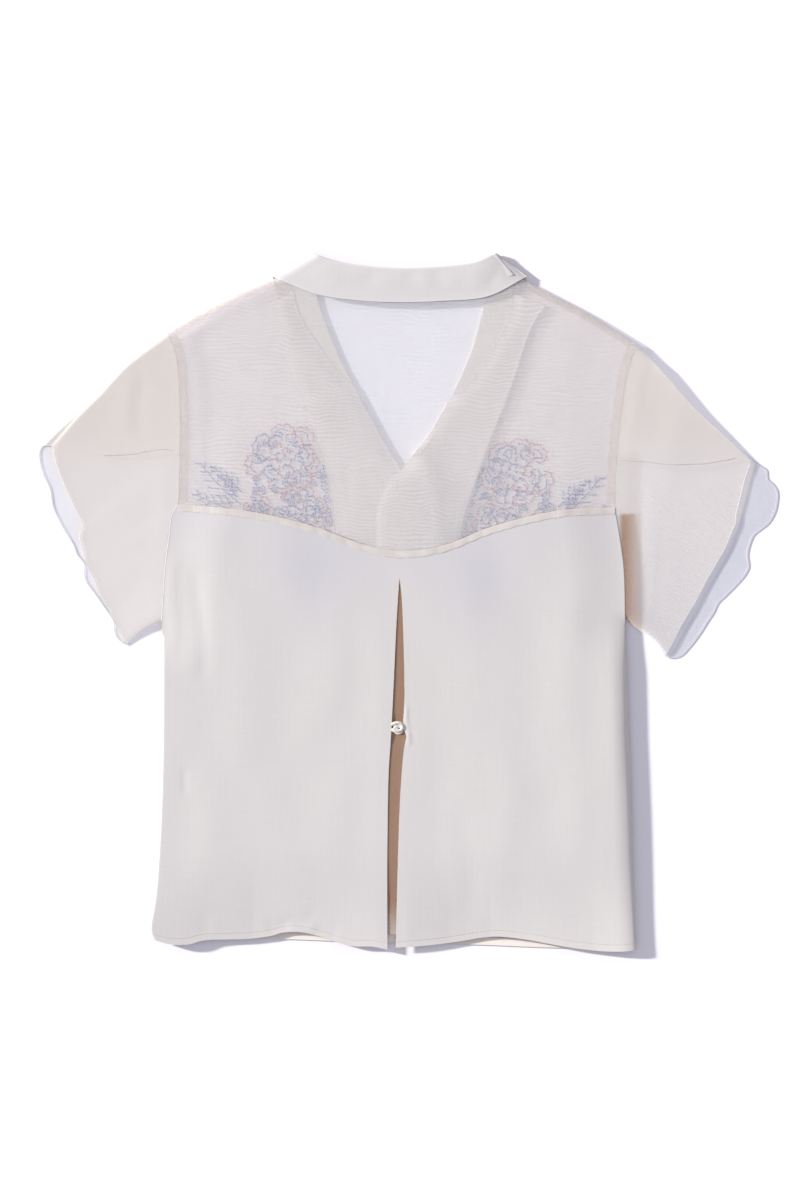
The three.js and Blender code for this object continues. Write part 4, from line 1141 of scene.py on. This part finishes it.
SLEEVE_RIGHT = {
    "top": [(222, 249), (251, 217), (276, 188.5), (301, 165), (332.5, 136)],
    "underarm": [(210.5, -17), (217, -23), (236.5, -38.5), (248.5, -53.5)],
    "upper_hem": [
        (332.5, 136), (329, 126), (326, 117.5), (321.4, 99), (318, 85), (317, 75), (312.6, 65), (306.3, 50),
        (296.4, 33), (286.4, 15), (276.4, -4), (264, -25), (256.5, -40), (248.5, -53.5),
    ],
    "lower_hem": [
        (332.5, 136), (339, 132.5), (346.3, 127.5), (347.6, 118.7), (352.6, 114), (356.8, 107), (356.8, 97),
        (353.8, 85), (347.6, 75), (340, 69), (334, 64), (330, 55), (328, 45), (329, 33), (325, 25), (316.4, 15),
        (306.4, 5), (299, -2.4), (295, -11), (289, -20), (281.4, -32), (271.4, -45), (262.7, -53.5), (254, -55.5),
        (248.5, -53.5),
    ],
    "crease": [
        (205, 137.3), (218, 135.4), (230, 135), (244, 133.2), (259, 132.2), (271, 132.7), (284, 133), (301, 135.5),
        (317, 138.5),
    ],
    "lofts": ([5.4, 5.4, 4.9, 3.1, 2.1], [2.7, 5.0, 4.5, 3.0, 1.9], [2.8, 2.6, 2.3, 1.7, 1.3]),
    "rounding": 9,
}
SLEEVE_FOLDS_LEFT = [
    # x, y, x, y, half width, height
    (-272, 232, -274, 156, 8, 0.2),
    (-258, 232, -260, 152, 7, -0.22),
    (-238, 146, -236, 70, 5, 0.12),
    (-252, 130, -246, 10, 12, -0.12),
    (-286, 120, -268, 0, 16, 0.15),
]
SLEEVE_FOLDS_RIGHT = [
    # x, y, x, y, half width, height
    (222, 220, 224, 146, 8, 0.12),
    (240, 206, 246, 146, 9, -0.12),
    (236, 124, 231, 6, 8, 0.22),
    (262, 110, 256, -10, 14, 0.1),
]


SLEEVE_GAP = 0.35  # between a sleeve and the armhole
SEAM_ROUNDING = 11  # how wide the sleeves round off along the seam underneath
HEM_RUN = 215  # length of a sleeve's hem
HALF_RING = 104  # points of a ring in each layer
LOWER_LEVEL, LOWER_HEM_LEVEL = 0.45, 0.62  # of the layer below and of its rolled hem
UNDERARM_LEVEL = 4.4  # of the right underarm seam; the left one keeps to the edge of the back
# Strength of each sleeve tint. On the right sleeve past_hem is painted shade cast by the upper layer, and underarm
# is painted warm shade between the layers.
SLEEVE_TINT_STRENGTH = {"upper_part": 0.7, "past_hem": 0.9, "underarm": 0.85, "patch": 0.4}  # strength of the tints


def sleeve(name, side, table, scye, armhole, cut):
    """A flat tube: rings of points from the armhole out to the hem."""
    move = lambda line: lambda t: line(t) + (side * SLEEVE_GAP, 0)
    body = {
        "top": move(edge(cut["top"])),
        "bottom": move(edge(cut["underarm"])),
        "left": move(edge(scye, armhole)),
    }
    upper = panel(**body, right=move(edge(cut["upper_hem"][::-1])))
    lower = panel(**body, right=move(edge(cut["lower_hem"][::-1])))
    u = np.concatenate([np.linspace(0, 0.95, 48), [0.966, 0.984, 1.0]])
    along = np.linspace(0, 1, HALF_RING + 1)
    spread = 0.4 * (1 - np.cos(np.linspace(0, math.pi, HALF_RING + 1))) / 2 + 0.6 * along
    rings, beyond = [], []
    for shape, up, v in ((upper, 1, spread[:-1]), (lower, -1, spread[::-1][:-1])):
        xy = shape(u[:, None], v[None, :])
        x, y = xy[..., 0], xy[..., 1]
        depth = np.linalg.norm(upper(u, 0 * u) - upper(u, 1 + 0 * u), axis=-1)[:, None]
        over, fold, under = (np.interp(u, SLEEVE_RUN, heights)[:, None] for heights in cut["lofts"])
        reach = np.linalg.norm(xy - shape(0 * u[:, None], v[None, :]), axis=-1)
        upper_reach = np.linalg.norm(upper(1, v) - upper(0, v), axis=-1)[None, :]
        from_fold, from_seam = (1 - v)[None, :] * depth, v[None, :] * depth
        shut = np.minimum(rounding(from_fold, cut["rounding"]), rounding(from_seam, SEAM_ROUNDING))
        meeting = np.where(from_fold < from_seam, fold, under)
        if up == 1:
            spread_out = over + folds(x, y, table) + unevenness(x, y)
        else:
            spread_out = LOWER_LEVEL + 0.12 * np.sin(y / 9.5 + 1.2 * np.sin(x / 21)) * smoothstep(0.7, 1, u)[:, None]
        rings.append(np.dstack([x, y, meeting + shut * (spread_out - meeting)]))
        beyond.append(smoothstep(-3, 1, reach - upper_reach) * (up == -1))
    points = np.concatenate([*rings, rings[0][:, :1]], axis=1)
    past_hem = np.concatenate([*beyond, beyond[0][:, :1]], axis=1)
    x, y = points[..., 0], points[..., 1]
    on_top = np.concatenate([np.ones(HALF_RING), np.zeros(HALF_RING), np.ones(1)])[None, :]
    # Beside the right armhole two patches are tinted, one above the other: in the upper one the layers inside show
    # through, the lower one is painted warm shade between the layers, lighter further out.
    above = smoothstep(84, 86, y)
    fading = 1 - 0.62 * smoothstep(209, 225, x)
    underarm = smoothstep(204, 208, x) * fading * (1 - smoothstep(225.5, 227.5, x)) * (1 - above)
    patch = smoothstep(202, 204, x) * (1 - smoothstep(225, 227, x)) * above * (1 - smoothstep(141, 143, y))
    marks = {
        "past_hem": past_hem,
        "underarm": underarm * on_top,
        "patch": patch * on_top,
        "upper_part": smoothstep(112, 176, y),
    }
    return lay(name, points, ring=True, marks=marks.items())


def pick(piece):
    """Makes a piece the active one, and the only one selected."""
    bpy.ops.object.select_all(action="DESELECT")
    piece.select_set(True)
    bpy.context.view_layer.objects.active = piece


def thread_line(name, line, radius, cloth):
    """A fine rolled edge or pressed line that follows points."""
    curve = bpy.data.curves.new(name, "CURVE")
    curve.dimensions = "3D"
    curve.bevel_depth = radius * MM
    curve.bevel_resolution = 1
    curve.use_fill_caps = True
    spline = curve.splines.new("POLY")
    spline.points.add(len(line) - 1)
    spline.points.foreach_set("co", np.column_stack([(line + CENTRED) * MM, np.ones(len(line))]).ravel())
    made = bpy.data.objects.new(name, curve)
    bpy.context.scene.collection.objects.link(made)
    pick(made)
    bpy.ops.object.convert(target="MESH")
    edit_all((bpy.ops.mesh.remove_doubles, {"threshold": 0.001 * MM}))
    return wear(bpy.context.object, cloth)


def plain(name, colour):
    """One colour with a faint lighter speckle."""
    light = [min(1.0, c * 1.12) for c in colour[:3]] + [1.0]
    return speckled(name, colour, light, {"Scale": 120.0}, sheen=0.1)


def sleeve_height(xy, cut, scye, armhole, table):
    """Height of the middle of a sleeve's upper layer."""
    from_top = distance_to([sampled(cut["top"])], *xy.T)
    from_arm = distance_to([sampled(armhole), sampled(scye)], *xy.T)
    part = from_arm / (from_arm + distance_to([sampled(cut["upper_hem"])], *xy.T))
    over, fold = (np.interp(part, SLEEVE_RUN, heights) for heights in cut["lofts"][:2])
    return fold + rounding(from_top, cut["rounding"]) * (over + folds(*xy.T, table) + unevenness(*xy.T) - fold)


SLEEVE_ALPHA = 0.29
grey_roll = plain("rolled_hem", dyed(184, 183, 190))
cream_roll = plain("turned_edge", dyed(204, 198, 192))
light_roll = plain("pressed_seam", dyed(196, 197, 200))
# The pressed line is darker than the organza: painted shade along the crease.
crease_line = plain("pressed_line", dyed(184, 174, 166))
t = np.linspace(0.01, 0.99, 120)
for name, side, table, scye, armhole, cut, area, seam_cloth, dark, light, above, past, underarm in (
    (
        # the left sleeve is dyed a shade darker than the right one: painted shade against the light that falls on it
        # from the left
        "left", -1, SLEEVE_FOLDS_LEFT, SCYE_LEFT, ARMHOLE_LEFT, SLEEVE_LEFT, 0.048, light_roll,
        dyed(228, 224, 219), dyed(233, 231, 228), dyed(226, 220, 211), dyed(230, 231, 234), dyed(222, 214, 208),
    ),
    (
        "right", 1, SLEEVE_FOLDS_RIGHT, SCYE_RIGHT, ARMHOLE_RIGHT, SLEEVE_RIGHT, 0.053, cream_roll,
        # the right sleeve's past-hem colour is painted shade cast by its upper layer, its underarm colour painted
        # warm shade
        dyed(232, 229, 226), dyed(237, 235, 232), dyed(228, 223, 214), dyed(196, 200, 210), dyed(187, 136, 80),
    ),
):
    colours = above, past, underarm, dyed(206, 197, 186)
    tints = [(mark, colour, strength) for (mark, strength), colour in zip(SLEEVE_TINT_STRENGTH.items(), colours)]
    pattern = {"waver": 7.0, "turn": 0.5, "slubs": 0.8, "marks": tints, "relief": False}
    cloth = organza("organza_sleeve_" + name, dark, light, SLEEVE_ALPHA, **pattern)
    made = sleeve("cloth_sleeve_" + name, side, table, scye, armhole, cut)
    wear(made, cloth, "sleeve_" + name)
    upper, fold, seam = (heights[-1] for heights in cut["lofts"])
    near_fold, near_seam = rounding(t * HEM_RUN, cut["rounding"]), rounding((1 - t) * HEM_RUN, SEAM_ROUNDING)
    closed, ends = np.where(t < 0.5, near_fold, near_seam), np.where(t < 0.5, fold, seam)
    low, high = (edge(cut[hem])(t) + (side * SLEEVE_GAP, 0) for hem in ("lower_hem", "upper_hem"))
    crease = edge(cut["crease"])(np.linspace(0, 1, 50))
    seam_xy = edge(scye)(np.linspace(0, 1, 60))
    under_height = np.full(60, UNDERARM_LEVEL) if side == 1 else back_level(*seam_xy.T) - 0.15
    lines = [
        thread_line(line_name + name, np.column_stack([xy, height]), radius, line_cloth)
        for line_name, xy, height, radius, line_cloth in (
            ("rolled_hem_", low, np.full(120, LOWER_HEM_LEVEL), 0.24, grey_roll),
            ("turned_edge_", high, ends + closed * (upper - ends), 0.22, cream_roll),
            ("pressed_line_", crease, sleeve_height(crease, cut, scye, armhole, table) + 0.04, 0.2, crease_line),
            ("underarm_seam_", seam_xy + (side * 0.2, 0), under_height, 0.35, seam_cloth),
        )
    ]

# ------------------------ buttons and the loop
# Small two-hole buttons of white pearly shell. One on the right side of the slit goes through a cord
# loop on the left side, and four close the fronts. The cord is a narrow tube of silk, turned out.

BUTTON_RADIUS, BUTTON_DEPTH = 5.05, 1.0
BUTTON_SMOOTHING, CORD_SMOOTHING = 40, 60
HOLE_RADIUS, HOLE_OFFSET, HOLE_SLANT = 0.75, 0.98, 0.5
DISH_RADIUS, DISH_DEPTH = 3.4, 0.3
BACK_BUTTON_BASE = 6.35  # its underside above the surface
SEWN_LEVEL = 7.2  # of the thread that shows between its holes
shell = dyed(222, 218, 218), dyed(240, 238, 236)
layers = {"Scale": 160.0, "Detail": 3.0, "Distortion": 1.5}
pearl = speckled("pearly_button", *shell, layers, roughness=0.18, specular=0.6, coat=0.4)


def cylinder(name, radius, low, high, x, y, sides):
    bpy.ops.object.select_all(action="DESELECT")
    depth = (high - low) * MM
    bpy.ops.mesh.primitive_cylinder_add(vertices=sides, radius=radius * MM, depth=depth, location=(0, 0, 0))
    made = bpy.context.object
    made.name = made.data.name = name
    edit_all((bpy.ops.transform.translate, {"value": (x * MM, y * MM, (low + high) / 2 * MM)}))
    return made


def shell_button(name, x, y, low, dished_up):
    """A round button with a rolled rim, a shallow dish and two holes."""
    disc = cylinder(name, BUTTON_RADIUS, low, low + BUTTON_DEPTH, x, y, 48)
    rim = disc.modifiers.new("rim", "BEVEL")
    rim.width, rim.segments = 0.35 * MM, 3
    bpy.ops.object.modifier_apply(modifier=rim.name)
    face = low + BUTTON_DEPTH if dished_up else low
    cutters = [cylinder("dish", DISH_RADIUS, face - DISH_DEPTH, face + DISH_DEPTH, x, y, 40)]
    for way in (-1, 1):
        at = x + way * HOLE_OFFSET, y + way * HOLE_SLANT
        cutters.append(cylinder("hole", HOLE_RADIUS, low - 1, low + 3, *at, 16))
    for cutter in cutters:
        bpy.context.view_layer.objects.active = disc
        cut = disc.modifiers.new("cut", "BOOLEAN")
        cut.operation, cut.object, cut.solver = "DIFFERENCE", cutter, "EXACT"
        bpy.ops.object.modifier_apply(modifier=cut.name)
        bpy.data.objects.remove(cutter)
    pick(disc)
    bpy.ops.object.shade_smooth_by_angle(angle=math.radians(BUTTON_SMOOTHING))
    return disc


for cad in ("back_button", "front_button_1", "front_button_2", "front_button_3", "front_button_4"):
    low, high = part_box(cad)
    at = [(low[k] + high[k]) / 2 / MM for k in (0, 1)]
    base = BACK_BUTTON_BASE if cad == "back_button" else low[2] / MM
    wear(shell_button("shell_" + cad, *at, base, cad == "back_button"), pearl, cad)

# The thread between the back button's holes, dark as painted shade in the holes.
x, y = ((button_low[k] + button_high[k]) / 2 / MM - CENTRED[k] for k in (0, 1))
ends = [(x - 0.8, y + 1.6, SEWN_LEVEL)], [(x + 1.8, y - 0.3, SEWN_LEVEL)]
sewn = stitches("shaded_button_thread", *ends, width=1.2, height=0.4)
wear(sewn, plain("shaded_button_thread", dyed(82, 72, 78)))

cord_silk, tree = finish("silk_cord", roughness=0.5, sheen=0.3)
twist = bands(tree, place_in(tree), "DIAGONAL", Scale=160.0)
paint(tree, blend_colours(tree, twist, dyed(190, 186, 168), dyed(214, 211, 197)), twist, depth=0.0001, strength=0.6)
CORD_RADIUS, CORD_LEVEL, CORD_FLAT = 1.8, 7.4, 0.52
LOOP = [
    # x, y and height of the cord's centre
    (-20.5, -119.8, 4.2),
    (-17.5, -119.6, 4.7),
    (-15.0, -119.2, 6.7),
    (-12.4, -118.5, CORD_LEVEL),
    (-9.4, -118.2, CORD_LEVEL),
    (-6.6, -119.2, CORD_LEVEL),
    (-5.0, -121.9, CORD_LEVEL),
    (-6.4, -125.0, CORD_LEVEL),
    (-9.3, -126.1, CORD_LEVEL),
    (-12.2, -125.8, CORD_LEVEL),
    (-15.0, -124.9, 6.7),
    (-17.5, -124.6, 4.7),
    (-20.5, -124.4, 4.2),
]
rows = np.array(LOOP)
profile = np.concatenate([np.linspace(a, b, 33) for a, b in zip(rows[:-1, 2], rows[1:, 2])])
loop_line = np.column_stack([smooth(rows[:, :2]), profile])[::6]
cord_loop = thread_line("cord_loop", loop_line, CORD_RADIUS, cord_silk)
for vertex in cord_loop.data.vertices:
    vertex.co.z = (CORD_LEVEL + (vertex.co.z / MM - CORD_LEVEL) * CORD_FLAT) * MM
bpy.ops.object.shade_smooth_by_angle(angle=math.radians(CORD_SMOOTHING))
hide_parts("back_loop")

# ------------------------ the surface, the light and the camera
# The shirt lies on a plain white surface, with a soft light low on the left and even light all round.

bpy.ops.object.select_all(action="DESELECT")
bpy.ops.mesh.primitive_plane_add(size=8, location=(0, 0, 0))
floor = bpy.context.object
floor.name = "floor"
white, tree = finish("white_surface", roughness=0.9, specular=0.0)
paint(tree, (0.87, 0.86, 0.9, 1))
floor.data.materials.append(white)

scene = bpy.context.scene
scene.world = bpy.data.worlds.new("room")
scene.world.use_nodes = True
room = scene.world.node_tree.nodes["Background"]
room.inputs["Color"].default_value = (0.9, 0.88, 1.0, 1)
room.inputs["Strength"].default_value = 0.6
scene.view_settings.view_transform = "Standard"
scene.cycles.transparent_max_bounces = 48
scene.cycles.max_bounces = 16
scene.cycles.diffuse_bounces = 8

KEY_HEIGHT, SHADOW_TURN = 14, -17.5  # degrees: above the surface, and the way its shadows fall
key = bpy.data.objects.new("key_light", bpy.data.lights.new("key_light", "SUN"))
key.data.energy = 8.5
key.data.angle = math.radians(3)
key.data.color = (1.0, 0.985, 0.95)
scene.collection.objects.link(key)
key.rotation_euler = (math.radians(90 - KEY_HEIGHT), 0, math.radians(SHADOW_TURN - 90))

VIEW_HEIGHT, VIEW_LENGTH = 6.0, 1.164
camera = bpy.data.objects.new("camera", bpy.data.cameras.new("camera"))
camera.location = ((-7.76 + CENTRED[0]) * MM, (0.97 + CENTRED[1]) * MM, VIEW_HEIGHT)
camera.data.sensor_fit = "VERTICAL"
camera.data.sensor_height = 24
camera.data.lens = 24 * VIEW_HEIGHT / VIEW_LENGTH
camera.data.clip_end = 50
scene.collection.objects.link(camera)
scene.camera = camera
